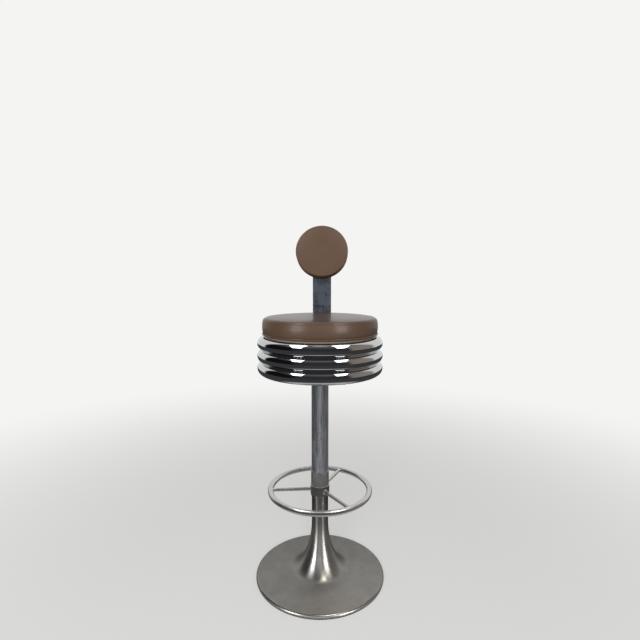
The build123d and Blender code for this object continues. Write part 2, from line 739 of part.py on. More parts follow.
# Back bar: flat bar bent up behind the drum and leant back behind the backrest
with BuildPart() as back_bar:
    leg_end = -flange_bolt_spacing_y / 2 - bar_leg_overhang
    with BuildSketch(Plane.YZ):
        with BuildLine():
            FilletPolyline(
                (leg_end, leg_middle_height),
                (bar_middle_y, leg_middle_height),
                (bar_bend.Y, bar_bend.Z),
                (bar_end.Y, bar_end.Z),
                radius=(bar_lower_bend_radius, bar_upper_bend_radius),
            )
        trace(line_width=bar_thickness)
    extrude(amount=bar_width / 2, both=True)
    across = back_bar.edges().filter_by(Axis((0, 0, 0), recline_forward))
    fillet(across.sort_by(Axis.Z)[-2:], bar_top_corner_radius)
    with BuildSketch(Plane.XY.offset(leg_top)):
        with GridLocations(flange_bolt_spacing_x, flange_bolt_spacing_y, 2, 2):
            Circle(flange_hole_radius)
    extrude(amount=-bar_thickness, mode=Mode.SUBTRACT)
    with BuildSketch(backrest_plane):
        with Locations(*backrest_bolt_points):
            Circle(backrest_bolt_diameter / 2 + bolt_clearance)
    extrude(amount=-bar_thickness, mode=Mode.SUBTRACT)
back_bar.part.label = "back_bar"
export_step(back_bar.part, "parts/back_bar.step")

backrest_radius = backrest_diameter / 2

# Backrest back panel: covered hardboard that closes the back of the pad, against the bar
with BuildPart() as backrest_back_panel:
    with BuildSketch(backrest_plane):
        Circle(backrest_radius - backrest_panel_margin)
        with Locations(*backrest_bolt_points):
            Circle(backrest_bolt_diameter / 2 + bolt_clearance, mode=Mode.SUBTRACT)
    extrude(amount=backrest_panel_thickness)
    panel_rims = backrest_back_panel.edges().filter_by(GeomType.CIRCLE).group_by(SortBy.RADIUS)[-1]
    fillet(panel_rims, backrest_panel_round)
backrest_back_panel.part.label = "backrest_back_panel"
export_step(backrest_back_panel.part, "parts/backrest_back_panel.step")

# Backrest board: plywood, counterbored from the front for its tee nuts
backrest_axis = Axis(backrest_plane.origin, backrest_plane.z_dir)
backrest_pad = (
    backrest_radius,
    backrest_thickness - backrest_panel_thickness,
    backrest_crown,
    backrest_edge_radius,
    backrest_foot_radius,
    backrest_draw_in,
)
tee_nut_barrel_radius = backrest_bolt_diameter / 2 + thread_gap + tee_nut_wall
tee_nut_flange_radius = tee_nut_barrel_radius + tee_nut_flange_reach
with BuildPart() as backrest_board:
    with BuildSketch(backrest_board_plane):
        Circle(backrest_radius - backrest_draw_in - foam_inset)
    extrude(amount=backrest_board_thickness)
    fillet(backrest_board.edges().sort_by(backrest_axis)[0], backrest_foot_radius - cover_thickness)
    with BuildSketch(backrest_board_plane):
        with Locations(*backrest_bolt_points):
            Circle(tee_nut_barrel_radius + thread_gap)
    extrude(amount=backrest_board_thickness, mode=Mode.SUBTRACT)
    with BuildSketch(backrest_board_front_plane):
        with Locations(*backrest_bolt_points):
            Circle(tee_nut_flange_radius + thread_gap)
    extrude(amount=-tee_nut_flange_thickness, mode=Mode.SUBTRACT)
backrest_board.part.label = "backrest_board"
export_step(backrest_board.part, "parts/backrest_board.step")

# Tee nuts: pressed flanged barrels set into the front of the board
with BuildPart() as backrest_tee_nuts:
    with BuildSketch(backrest_board_front_plane):
        with Locations(*backrest_bolt_points):
            Circle(tee_nut_flange_radius)
    extrude(amount=-tee_nut_flange_thickness)
    with BuildSketch(backrest_board_plane):
        with Locations(*backrest_bolt_points):
            Circle(tee_nut_barrel_radius)
    extrude(amount=backrest_board_thickness)
    with BuildSketch(backrest_board_plane):
        with Locations(*backrest_bolt_points):
            Circle(backrest_bolt_diameter / 2 + thread_gap)
    extrude(amount=backrest_board_thickness, mode=Mode.SUBTRACT)
backrest_tee_nuts.part.label = "backrest_tee_nuts"
export_step(backrest_tee_nuts.part, "parts/backrest_tee_nuts.step")

# Backrest bolts: domed heads behind the bar, threaded into the tee nuts
with BuildPart() as backrest_bolts:
    with BuildSketch(bar_back_plane):
        with Locations(*backrest_bolt_points):
            Circle(backrest_bolt_head_diameter / 2)
    extrude(amount=-backrest_bolt_head_height)
    head_rims = backrest_bolts.faces().sort_by(Axis((0, 0, 0), recline_forward))[0:2].edges()
    fillet(head_rims, backrest_bolt_head_height - backrest_bolt_rim_height)
    with BuildSketch(bar_back_plane):
        with Locations(*backrest_bolt_points):
            Circle(backrest_bolt_diameter / 2)
    extrude(amount=bar_thickness + backrest_panel_thickness + cover_thickness + backrest_board_thickness)
backrest_bolts.part.label = "backrest_bolts"
export_step(backrest_bolts.part, "parts/backrest_bolts.step")

# Backrest cover: the same leatherette, turned in behind the board under the back panel
with BuildPart() as backrest_cover:
    with BuildSketch(section_plane(backrest_cover_plane, 0)) as back_outside:
        pad_section(back_outside, 0, *backrest_pad)
    revolve(axis=backrest_axis)
    with BuildSketch(section_plane(backrest_cover_plane, cover_thickness)) as back_inside:
        pad_section(back_inside, cover_thickness, *backrest_pad)
    revolve(axis=backrest_axis, mode=Mode.SUBTRACT)
    with BuildSketch(backrest_cover_plane):
        Circle(backrest_radius - backrest_hem_width)
    extrude(amount=cover_thickness, mode=Mode.SUBTRACT)
backrest_cover.part.label = "backrest_cover"
export_step(backrest_cover.part, "parts/backrest_cover.step")

# Backrest foam: moulded to the inside of its cover, on its board
with BuildPart() as backrest_foam:
    with BuildSketch(section_plane(backrest_cover_plane, foam_inset)) as back_foam:
        pad_section(back_foam, foam_inset, *backrest_pad)
    revolve(axis=backrest_axis)
    with BuildSketch(backrest_board_front_plane):
        Circle(backrest_radius)
    extrude(amount=-backrest_thickness, mode=Mode.SUBTRACT)
backrest_foam.part.label = "backrest_foam"
export_step(backrest_foam.part, "parts/backrest_foam.step")
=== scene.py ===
import math

import bmesh
import bpy
import numpy as np
from mathutils import Matrix, Vector, noise


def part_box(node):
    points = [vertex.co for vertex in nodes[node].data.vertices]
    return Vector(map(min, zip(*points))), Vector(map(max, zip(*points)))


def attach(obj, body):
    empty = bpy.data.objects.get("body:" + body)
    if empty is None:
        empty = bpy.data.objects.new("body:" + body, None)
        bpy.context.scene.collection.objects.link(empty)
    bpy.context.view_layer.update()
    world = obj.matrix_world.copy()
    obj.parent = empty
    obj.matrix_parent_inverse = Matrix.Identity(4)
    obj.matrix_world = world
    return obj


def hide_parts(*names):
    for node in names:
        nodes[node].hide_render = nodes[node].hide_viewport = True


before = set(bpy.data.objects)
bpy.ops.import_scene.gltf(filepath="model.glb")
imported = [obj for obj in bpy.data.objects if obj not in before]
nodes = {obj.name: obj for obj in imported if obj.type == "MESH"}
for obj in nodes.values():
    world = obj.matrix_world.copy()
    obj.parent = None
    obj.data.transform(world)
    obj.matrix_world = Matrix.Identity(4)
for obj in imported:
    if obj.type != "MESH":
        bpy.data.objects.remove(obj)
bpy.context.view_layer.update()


# Floor ring: a moulded strip of soft black PVC under the rim of the base.
# It keeps the metal off the floor, and its lip springs out against the inside of the rim.

MM = 0.001


def linear(hex_colour):
    """An sRGB hex colour as the linear RGBA that a shader socket takes."""
    parts = [int(hex_colour[i : i + 2], 16) / 255 for i in (1, 3, 5)]
    return tuple(p / 12.92 if p <= 0.04045 else ((p + 0.055) / 1.055) ** 2.4 for p in parts) + (1.0,)


def add_node(tree, kind, settings=None, links=None):
    """Adds a shader node, sets its inputs and properties, and links its inputs to other nodes' outputs."""
    node = tree.nodes.new("ShaderNode" + kind)
    for key, value in (settings or {}).items():
        if isinstance(key, int) or key in node.inputs:
            node.inputs[key].default_value = value
        else:
            setattr(node, key, value)
    for key, source in (links or {}).items():
        tree.links.new(source, node.inputs[key])
    return node


def start_material(name):
    """A new material, its node tree, its shader, and the place on the piece in metres."""
    material = bpy.data.materials.new(name)
    material.use_nodes = True
    tree = material.node_tree
    place = add_node(tree, "TexCoord").outputs["Object"]
    return material, tree, tree.nodes["Principled BSDF"], place


def finish_in(material, *pieces):
    """Gives whole pieces one finish."""
    for piece in pieces:
        piece.data.materials.clear()
        piece.data.materials.append(material)


# Soft PVC, moulded: a dull black with a fine leathery grain, greyer where floor dust sits in it.
soft_pvc, tree, shader, place = start_material("soft_black_pvc")
PVC_GRAIN = 0.9 * MM
PVC_GRAIN_DEPTH = 0.1 * MM
DUST_PATCH = 22 * MM
grain = add_node(tree, "TexNoise", {"Scale": 1 / PVC_GRAIN, "Detail": 3.0}, {"Vector": place})
dust = add_node(tree, "TexNoise", {"Scale": 1 / DUST_PATCH, "Detail": 5.0}, {"Vector": place})
pvc_colour = add_node(
    tree,
    "Mix",
    {"data_type": "RGBA", 6: linear("#121314"), 7: linear("#2B2A29")},
    {0: dust.outputs["Fac"]},
)
pvc_gloss = add_node(tree, "MapRange", {"To Min": 0.5, "To Max": 0.78}, {"Value": dust.outputs["Fac"]})
pvc_bump = add_node(
    tree, "Bump", {"Strength": 0.3, "Distance": PVC_GRAIN_DEPTH}, {"Height": grain.outputs["Fac"]}
)
tree.links.new(pvc_colour.outputs[2], shader.inputs["Base Color"])
tree.links.new(pvc_gloss.outputs["Result"], shader.inputs["Roughness"])
tree.links.new(pvc_bump.outputs["Normal"], shader.inputs["Normal"])
finish_in(soft_pvc, nodes["floor_ring"])


# Trumpet base: one aluminium casting, turned and polished on a lathe, now dulled by years of feet.
# Its neck ends in a spigot that the column slides over, and the ballast hangs from it on a tie rod.

# Polished cast aluminium: a soft grey mirror with cloudy oxide, faint lathe rings and fine scuffs.
# The trodden cone has gone dull, the flare and the rim still shine, and the neck is darkened with painted
# shade.
cast_aluminium, tree, shader, place = start_material("polished_cast_aluminium")
OXIDE_CLOUD = 34 * MM
OXIDE_DEPTH = 0.3 * MM
LATHE_RING = 1.6 * MM  # the real rings are finer, and are drawn this wide so that they show
LATHE_RING_DEPTH = 0.05 * MM
SCUFF = 7 * MM
oxide = add_node(
    tree, "TexNoise", {"Scale": 1 / OXIDE_CLOUD, "Detail": 6.0, "Roughness": 0.62}, {"Vector": place}
)
flat_place = add_node(tree, "VectorMath", {"operation": "MULTIPLY", 1: (1.0, 1.0, 0.0)}, {0: place})
from_axis = add_node(tree, "VectorMath", {"operation": "LENGTH"}, {0: flat_place.outputs["Vector"]})
height = add_node(tree, "SeparateXYZ", None, {"Vector": place})
lathe_place = add_node(
    tree, "CombineXYZ", None, {"X": from_axis.outputs["Value"], "Z": height.outputs["Z"]}
)
lathe_rings = add_node(
    tree, "TexNoise", {"Scale": 1 / LATHE_RING, "Detail": 2.0}, {"Vector": lathe_place.outputs["Vector"]}
)
scuffs = add_node(
    tree,
    "TexNoise",
    {"Scale": 1 / SCUFF, "Detail": 8.0, "Roughness": 0.75, "Distortion": 1.5},
    {"Vector": place},
)
aluminium_colour = add_node(
    tree,
    "Mix",
    {"data_type": "RGBA", 6: linear("#7E7C79"), 7: linear("#9E9C99")},
    {0: oxide.outputs["Fac"]},
)
oxide_gloss = add_node(
    tree,
    "MapRange",
    {"From Min": 0.3, "From Max": 0.7, "To Min": 0.38, "To Max": 0.32},
    {"Value": oxide.outputs["Fac"]},
)
scuff_gloss = add_node(
    tree,
    "MapRange",
    {"From Min": 0.45, "From Max": 0.75, "To Min": 0.0, "To Max": 0.08},
    {"Value": scuffs.outputs["Fac"]},
)
aluminium_gloss = add_node(
    tree,
    "Math",
    {"operation": "ADD"},
    {0: oxide_gloss.outputs["Result"], 1: scuff_gloss.outputs["Result"]},
)
FLARE_FOOT_RADIUS = 84 * MM
WEAR_FADE = 12 * MM
DULL_CONE_ROUGHNESS = 0.5
cone_wear = add_node(
    tree,
    "MapRange",
    {
        "interpolation_type": "SMOOTHSTEP",
        "From Min": FLARE_FOOT_RADIUS - WEAR_FADE,
        "From Max": FLARE_FOOT_RADIUS + WEAR_FADE,
    },
    {"Value": from_axis.outputs["Value"]},
)
cone_gloss = add_node(
    tree,
    "Mix",
    {"data_type": "FLOAT", 3: DULL_CONE_ROUGHNESS},
    {0: cone_wear.outputs["Result"], 2: aluminium_gloss.outputs["Value"]},
)
RIM_WIDTH = 9 * MM
RIM_FADE = 5 * MM
RIM_ROUGHNESS = 0.3
rim_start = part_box("base_trumpet")[1].x - RIM_WIDTH
rim_shine = add_node(
    tree,
    "MapRange",
    {"interpolation_type": "SMOOTHSTEP", "From Min": rim_start, "From Max": rim_start + RIM_FADE},
    {"Value": from_axis.outputs["Value"]},
)
rim_gloss = add_node(
    tree,
    "Mix",
    {"data_type": "FLOAT", 3: RIM_ROUGHNESS},
    {0: rim_shine.outputs["Result"], 2: cone_gloss.outputs[0]},
)
ring_bump = add_node(
    tree, "Bump", {"Strength": 0.12, "Distance": LATHE_RING_DEPTH}, {"Height": lathe_rings.outputs["Fac"]}
)
cloud_bump = add_node(
    tree,
    "Bump",
    {"Strength": 0.1, "Distance": OXIDE_DEPTH},
    {"Height": oxide.outputs["Fac"], "Normal": ring_bump.outputs["Normal"]},
)
FLARE_PULL = 0.86  # how far the fine rings draw reflections out into streaks up the flare
CONE_PULL = 0.1
QUARTER_TURN = 0.25
ring_pull = add_node(
    tree, "MapRange", {"To Min": FLARE_PULL, "To Max": CONE_PULL}, {"Value": cone_wear.outputs["Result"]}
)
turned = add_node(tree, "Tangent", {"direction_type": "RADIAL", "axis": "Z"})
CONE_SHADE = 0.96
PAINTED_NECK_SHADE = 0.55
cone_shade = add_node(
    tree, "MapRange", {"To Min": 1.0, "To Max": CONE_SHADE}, {"Value": cone_wear.outputs["Result"]}
)
# Painted shade: the colour is darkened up the neck, above its foot.
NECK_FOOT = 150 * MM
NECK_FADE = 30 * MM
painted_neck_shade = add_node(
    tree,
    "MapRange",
    {
        "interpolation_type": "SMOOTHSTEP",
        "From Min": NECK_FOOT - NECK_FADE,
        "From Max": NECK_FOOT + NECK_FADE,
        "To Min": 1.0,
        "To Max": PAINTED_NECK_SHADE,
    },
    {"Value": height.outputs["Z"]},
)
# Wear on the cone and painted shade on the neck, multiplied into the colour.
wear_and_painted_shade = add_node(
    tree,
    "Math",
    {"operation": "MULTIPLY"},
    {0: cone_shade.outputs["Result"], 1: painted_neck_shade.outputs["Result"]},
)
trodden_and_shaded_colour = add_node(
    tree,
    "Mix",
    {"data_type": "RGBA", "blend_type": "MULTIPLY", 0: 1.0},
    {6: aluminium_colour.outputs[2], 7: wear_and_painted_shade.outputs["Value"]},
)
shader.inputs["Metallic"].default_value = 1.0
shader.inputs["Specular Tint"].default_value = linear("#7A7A7A")
shader.inputs["Anisotropic Rotation"].default_value = QUARTER_TURN
tree.links.new(ring_pull.outputs["Result"], shader.inputs["Anisotropic"])
tree.links.new(turned.outputs["Tangent"], shader.inputs["Tangent"])
tree.links.new(trodden_and_shaded_colour.outputs[2], shader.inputs["Base Color"])
tree.links.new(rim_gloss.outputs[0], shader.inputs["Roughness"])
tree.links.new(cloud_bump.outputs["Normal"], shader.inputs["Normal"])
finish_in(cast_aluminium, nodes["base_trumpet"])


# Ballast and tie rod: a rough iron disc inside the base, pulled up against it by one long rod,
# a washer and a nut. None of it shows while the stool stands.

# Cast iron: dark grey-brown, coarse as the sand it was poured in.
cast_iron, tree, shader, place = start_material("sand_cast_iron")
SAND_GRIT = 1.4 * MM
SAND_GRIT_DEPTH = 0.4 * MM
sand = add_node(tree, "TexNoise", {"Scale": 1 / SAND_GRIT, "Detail": 4.0}, {"Vector": place})
iron_colour = add_node(
    tree,
    "Mix",
    {"data_type": "RGBA", 6: linear("#2A2725"), 7: linear("#4B443E")},
    {0: sand.outputs["Fac"]},
)
iron_bump = add_node(
    tree, "Bump", {"Strength": 0.6, "Distance": SAND_GRIT_DEPTH}, {"Height": sand.outputs["Fac"]}
)
shader.inputs["Roughness"].default_value = 0.75
tree.links.new(iron_colour.outputs[2], shader.inputs["Base Color"])
tree.links.new(iron_bump.outputs["Normal"], shader.inputs["Normal"])
finish_in(cast_iron, nodes["ballast_disc"])

# Zinc-plated steel: a bluish satin grey with the spangle of the plating bath.
zinc_plate, tree, shader, place = start_material("zinc_plated_steel")
ZINC_SPANGLE = 2.5 * MM
spangle = add_node(tree, "TexVoronoi", {"Scale": 1 / ZINC_SPANGLE}, {"Vector": place})
spangle_grey = add_node(tree, "MapRange", {"From Max": 0.8}, {"Value": spangle.outputs["Distance"]})
zinc_colour = add_node(
    tree,
    "Mix",
    {"data_type": "RGBA", 6: linear("#8C9196"), 7: linear("#B3B7BA")},
    {0: spangle_grey.outputs["Result"]},
)
zinc_gloss = add_node(
    tree, "MapRange", {"To Min": 0.28, "To Max": 0.45}, {"Value": spangle_grey.outputs["Result"]}
)
shader.inputs["Metallic"].default_value = 1.0
tree.links.new(zinc_colour.outputs[2], shader.inputs["Base Color"])
tree.links.new(zinc_gloss.outputs["Result"], shader.inputs["Roughness"])
finish_in(zinc_plate, nodes["tie_rod"], nodes["tie_washer"], nodes["tie_nut"])


# Column: a steel tube, chromed, that stands on the shoulder of the base with a tapped plug brazed in.
# Knees and shoes have worn its plating to a streaky satin, and pitted it about half way up.

# Worn chrome: a blue-grey mirror gone dull, with long fine streaks and dark rust pits.
worn_chrome, tree, shader, place = start_material("worn_chrome_plate")
STREAK_WIDTH = 3.5 * MM
STREAK_LENGTH = 90 * MM
STREAK_DEPTH = 0.06 * MM
PIT = 4 * MM
PIT_DEPTH = 0.15 * MM
WEAR_CLOUD = 26 * MM
streak_place = add_node(
    tree,
    "VectorMath",
    {"operation": "MULTIPLY", 1: (1 / STREAK_WIDTH, 1 / STREAK_WIDTH, 1 / STREAK_LENGTH)},
    {0: place},
)
streaks = add_node(
    tree,
    "TexNoise",
    {"Scale": 1.0, "Detail": 3.0, "Roughness": 0.6},
    {"Vector": streak_place.outputs["Vector"]},
)
streak_share = add_node(
    tree, "MapRange", {"From Min": 0.3, "From Max": 0.7}, {"Value": streaks.outputs["Fac"]}
)
wear = add_node(
    tree, "TexNoise", {"Scale": 1 / WEAR_CLOUD, "Detail": 6.0, "Roughness": 0.65}, {"Vector": place}
)
pit_spots = add_node(tree, "TexVoronoi", {"Scale": 1 / PIT, "Randomness": 1.0}, {"Vector": place})
pit_shape = add_node(
    tree,
    "MapRange",
    {"interpolation_type": "SMOOTHSTEP", "From Min": 0.12, "From Max": 0.38, "To Min": 1.0, "To Max": 0.0},
    {"Value": pit_spots.outputs["Distance"]},
)
column_low, column_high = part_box("column_tube")
PATCH_CORE = 22.5 * MM
PATCH_REACH = 58.5 * MM
PATCH_WEAR = 0.26
up_column = add_node(tree, "SeparateXYZ", None, {"Vector": place})
from_patch = add_node(
    tree,
    "Math",
    {"operation": "SUBTRACT", 1: (column_low.z + column_high.z) / 2},
    {0: up_column.outputs["Z"]},
)
patch_distance = add_node(tree, "Math", {"operation": "ABSOLUTE"}, {0: from_patch.outputs["Value"]})
patch = add_node(
    tree,
    "MapRange",
    {
        "interpolation_type": "SMOOTHSTEP",
        "From Min": PATCH_CORE,
        "From Max": PATCH_REACH,
        "To Min": PATCH_WEAR,
        "To Max": 0.0,
    },
    {"Value": patch_distance.outputs["Value"]},
)
patchy_wear = add_node(
    tree, "Math", {"operation": "ADD"}, {0: wear.outputs["Fac"], 1: patch.outputs["Result"]}
)
pit_zone = add_node(
    tree,
    "MapRange",
    {"interpolation_type": "SMOOTHSTEP", "From Min": 0.56, "From Max": 0.72},
    {"Value": patchy_wear.outputs["Value"]},
)
pits = add_node(
    tree,
    "Math",
    {"operation": "MULTIPLY"},
    {0: pit_shape.outputs["Result"], 1: pit_zone.outputs["Result"]},
)
plate_colour = add_node(
    tree,
    "Mix",
    {"data_type": "RGBA", 6: linear("#7F858E"), 7: linear("#D2D5D9")},
    {0: streak_share.outputs["Result"]},
)
pitted_colour = add_node(
    tree,
    "Mix",
    {"data_type": "RGBA", 7: linear("#4A4540")},
    {0: pits.outputs["Value"], 6: plate_colour.outputs[2]},
)
streak_gloss = add_node(
    tree,
    "MapRange",
    {"From Min": 0.3, "From Max": 0.7, "To Min": 0.36, "To Max": 0.52},
    {"Value": streaks.outputs["Fac"]},
)
wear_gloss = add_node(
    tree,
    "MapRange",
    {"From Min": 0.45, "From Max": 0.7, "To Min": 0.0, "To Max": 0.16},
    {"Value": wear.outputs["Fac"]},
)
plate_gloss = add_node(
    tree,
    "Math",
    {"operation": "ADD"},
    {0: streak_gloss.outputs["Result"], 1: wear_gloss.outputs["Result"]},
)
streak_bump = add_node(
    tree, "Bump", {"Strength": 0.15, "Distance": STREAK_DEPTH}, {"Height": streaks.outputs["Fac"]}
)
pit_bump = add_node(
    tree,
    "Bump",
    {"Strength": 0.7, "Distance": PIT_DEPTH, "invert": True},
    {"Height": pits.outputs["Value"], "Normal": streak_bump.outputs["Normal"]},
)
turned = add_node(tree, "Tangent", {"direction_type": "RADIAL", "axis": "Z"})
shader.inputs["Metallic"].default_value = 0.9
shader.inputs["Specular Tint"].default_value = linear("#6A6A6A")
shader.inputs["Anisotropic"].default_value = 0.3
shader.inputs["Anisotropic Rotation"].default_value = QUARTER_TURN
tree.links.new(turned.outputs["Tangent"], shader.inputs["Tangent"])
tree.links.new(pitted_colour.outputs[2], shader.inputs["Base Color"])
tree.links.new(plate_gloss.outputs["Value"], shader.inputs["Roughness"])
tree.links.new(pit_bump.outputs["Normal"], shader.inputs["Normal"])
finish_in(worn_chrome, nodes["column_tube"])
finish_in(zinc_plate, nodes["column_plug"])


# Foot ring: a bent and chromed steel tube on three rods, welded to a hub that slips over the column.
# Two grub screws behind hold the hub, and the welds were dressed smooth before plating.

# Shoe-worn chrome: still pale and shiny, but softened all over by fine rubs in every direction.
rubbed_chrome, tree, shader, place = start_material("shoe_rubbed_chrome")
RUB = 14 * MM
rubs = add_node(tree, "TexNoise", {"Scale": 1 / RUB, "Detail": 2.0}, {"Vector": place})
rubbed_colour = add_node(
    tree,
    "Mix",
    {"data_type": "RGBA", 6: linear("#BDBCBA"), 7: linear("#CFCECC")},
    {0: rubs.outputs["Fac"]},
)
rubbed_gloss = add_node(
    tree,
    "MapRange",
    {"From Min": 0.3, "From Max": 0.7, "To Min": 0.3, "To Max": 0.37},
    {"Value": rubs.outputs["Fac"]},
)
shader.inputs["Metallic"].default_value = 0.95
tree.links.new(rubbed_colour.outputs[2], shader.inputs["Base Color"])
tree.links.new(rubbed_gloss.outputs["Result"], shader.inputs["Roughness"])
finish_in(rubbed_chrome, nodes["foot_ring"], nodes["foot_ring_spokes"])
finish_in(zinc_plate, nodes["hub_grub_screws"])

# The lower half of the hub is the same chrome, darkened below its step by painted shade; the upper half is
# darkened a little too.
HUB_PAINTED_SHADE = 0.42
UPPER_HUB_SHADE = 0.95
HUB_SHADE_FADE_BELOW = 3 * MM
HUB_SHADE_FADE_ABOVE = 1 * MM
HUB_TOLERANCE = 0.3 * MM
hub_painted_shade_chrome = rubbed_chrome.copy()
hub_painted_shade_chrome.name = "painted_shade_rubbed_chrome"
tree = hub_painted_shade_chrome.node_tree
shader = tree.nodes["Principled BSDF"]
hub_points = [v.co for v in nodes["foot_ring_hub"].data.vertices]
hub_radius = max(p.xy.length for p in hub_points)
hub_step = max(p.z for p in hub_points if p.xy.length > hub_radius - HUB_TOLERANCE)
up_hub = add_node(tree, "SeparateXYZ", None, {"Vector": add_node(tree, "TexCoord").outputs["Object"]})
# Painted shade: the hub's colour is darkened below its step.
hub_shade_mask = add_node(
    tree,
    "MapRange",
    {
        "interpolation_type": "SMOOTHSTEP",
        "From Min": hub_step - HUB_SHADE_FADE_BELOW,
        "From Max": hub_step + HUB_SHADE_FADE_ABOVE,
        "To Min": HUB_PAINTED_SHADE,
        "To Max": UPPER_HUB_SHADE,
    },
    {"Value": up_hub.outputs["Z"]},
)
hub_shaded_colour = add_node(
    tree,
    "Mix",
    {"data_type": "RGBA", "blend_type": "MULTIPLY", 0: 1.0},
    {6: shader.inputs["Base Color"].links[0].from_socket, 7: hub_shade_mask.outputs["Result"]},
)
tree.links.new(hub_shaded_colour.outputs[2], shader.inputs["Base Color"])
finish_in(hub_painted_shade_chrome, nodes["foot_ring_hub"])


def add_piece(name, mesh, body):
    """Puts a new mesh into the scene as a piece that rides on a body."""
    piece = bpy.data.objects.new(name, mesh)
    bpy.context.scene.collection.objects.link(piece)
    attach(piece, body)
    return piece


# The welds are small, slightly uneven fillets all round each rod, at the hub and at the ring.
WELD_FILLET = 3.2 * MM
WELD_UNEVENNESS = 0.05
WELD_LUMPS = 2.2
ROD_TO_ROD = 7.0  # sets the lumps of one rod's welds apart from the next one's
END_TO_END = 90.0
WELD_ROUND_STEPS = 40
WELD_FILLET_STEPS = 8
spoke_low, spoke_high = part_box("foot_ring_spokes")
spoke_height = (spoke_low.z + spoke_high.z) / 2
spoke_radius = (spoke_high.z - spoke_low.z) / 2
ring_low, ring_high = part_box("foot_ring")
ring_tube_radius = (ring_high.z - ring_low.z) / 2
ring_inner_radius = ring_high.x - 2 * ring_tube_radius
spoke_points = [v.co for v in nodes["foot_ring_spokes"].data.vertices]
spoke_tip = max(spoke_points, key=lambda p: p.xy.length)
tip_points = [p for p in spoke_points if (p.xy - spoke_tip.xy).length < 3 * spoke_radius]
tip_middle = sum(tip_points, Vector()) / len(tip_points)
SPOKE_COUNT = 3
welds = bmesh.new()
for spoke in range(SPOKE_COUNT):
    turn = Matrix.Rotation(math.tau * spoke / SPOKE_COUNT, 3, "Z")
    along = (turn @ Vector((tip_middle.x, tip_middle.y, 0))).normalized()
    across = Vector((-along.y, along.x, 0))
    for foot, outwards in ((hub_radius, 1), (ring_inner_radius, -1)):
        rings = []
        for step in range(WELD_FILLET_STEPS + 1):
            lean = math.pi / 2 * step / WELD_FILLET_STEPS
            reach = WELD_FILLET * (1 - math.sin(lean))
            stand = spoke_radius + WELD_FILLET * (1 - math.cos(lean))
            ring = []
            for round_step in range(WELD_ROUND_STEPS):
                a = math.tau * round_step / WELD_ROUND_STEPS
                sideways = across * (stand * math.cos(a)) + Vector((0, 0, stand * math.sin(a)))
                if outwards > 0:
                    start = math.sqrt(hub_radius**2 - (stand * math.cos(a)) ** 2)
                else:
                    tube_middle = ring_inner_radius + ring_tube_radius
                    hollow = ring_tube_radius**2 - (stand * math.sin(a)) ** 2
                    start = tube_middle - math.sqrt(max(hollow, 0))
                lump = noise.noise(Vector((a * WELD_LUMPS, spoke * ROD_TO_ROD, foot * END_TO_END)))
                bead = 1 + WELD_UNEVENNESS * lump
                middle = along * (start + outwards * reach * bead) + Vector((0, 0, spoke_height))
                ring.append(welds.verts.new(middle + sideways))
            rings.append(ring)
        for near, far in zip(rings, rings[1:]):
            for i in range(WELD_ROUND_STEPS):
                j = (i + 1) % WELD_ROUND_STEPS
                welds.faces.new((near[i], near[j], far[j], far[i]))
bmesh.ops.recalc_face_normals(welds, faces=welds.faces)
weld_mesh = bpy.data.meshes.new("spoke_welds")
welds.to_mesh(weld_mesh)
welds.free()
weld_mesh.shade_smooth()
spoke_welds = add_piece("spoke_welds", weld_mesh, "base")
finish_in(rubbed_chrome, spoke_welds)


# Swivel: a steel spindle, welded into a round flange, turns in two nylon bushes in the column's top.
# A circlip keeps it in, and two flat washers carry the sitter's weight.

# Nylon: a milky white plastic with a waxy sheen and fine marks of the tool.
nylon, tree, shader, place = start_material("machined_nylon")
TOOL_MARK = 0.8 * MM
TOOL_MARK_DEPTH = 0.05 * MM
NYLON_IOR = 1.53
tool_marks = add_node(tree, "TexNoise", {"Scale": 1 / TOOL_MARK, "Detail": 2.0}, {"Vector": place})
nylon_colour = add_node(
    tree,
    "Mix",
    {"data_type": "RGBA", 6: linear("#D2CDBF"), 7: linear("#E2DED2")},
    {0: tool_marks.outputs["Fac"]},
)
nylon_bump = add_node(
    tree, "Bump", {"Strength": 0.2, "Distance": TOOL_MARK_DEPTH}, {"Height": tool_marks.outputs["Fac"]}
)
shader.inputs["Roughness"].default_value = 0.38
shader.inputs["IOR"].default_value = NYLON_IOR
tree.links.new(nylon_colour.outputs[2], shader.inputs["Base Color"])
tree.links.new(nylon_bump.outputs["Normal"], shader.inputs["Normal"])
finish_in(nylon, nodes["upper_bush"], nodes["lower_bush"], nodes["glide_washer"])
finish_in(zinc_plate, nodes["thrust_washer"], nodes["swivel_spindle"], nodes["spindle_circlip"])

# Stove-enamelled steel: a satin black with a faint orange-peel, a little greyer in patches.
black_enamel, tree, shader, place = start_material("stove_enamelled_steel")
ORANGE_PEEL = 2.2 * MM
ORANGE_PEEL_DEPTH = 0.08 * MM
peel = add_node(tree, "TexNoise", {"Scale": 1 / ORANGE_PEEL, "Detail": 2.0}, {"Vector": place})
enamel_colour = add_node(
    tree,
    "Mix",
    {"data_type": "RGBA", 6: linear("#141416"), 7: linear("#252528")},
    {0: peel.outputs["Fac"]},
)
peel_bump = add_node(
    tree, "Bump", {"Strength": 0.25, "Distance": ORANGE_PEEL_DEPTH}, {"Height": peel.outputs["Fac"]}
)
shader.inputs["Roughness"].default_value = 0.4
tree.links.new(enamel_colour.outputs[2], shader.inputs["Base Color"])
tree.links.new(peel_bump.outputs["Normal"], shader.inputs["Normal"])
finish_in(black_enamel, nodes["swivel_flange"], nodes["carrier_plate"])
finish_in(zinc_plate, nodes["flange_bolts"], nodes["flange_nuts"])
finish_in(zinc_plate, nodes["carrier_bolts"], nodes["carrier_nuts"])


# Ribbed drum: thin sheet steel spun into three half-round ribs and a low collar, and chromed.
# Its lower flange is bolted to the black carrier plate, and the seat board is screwed to its upper one.

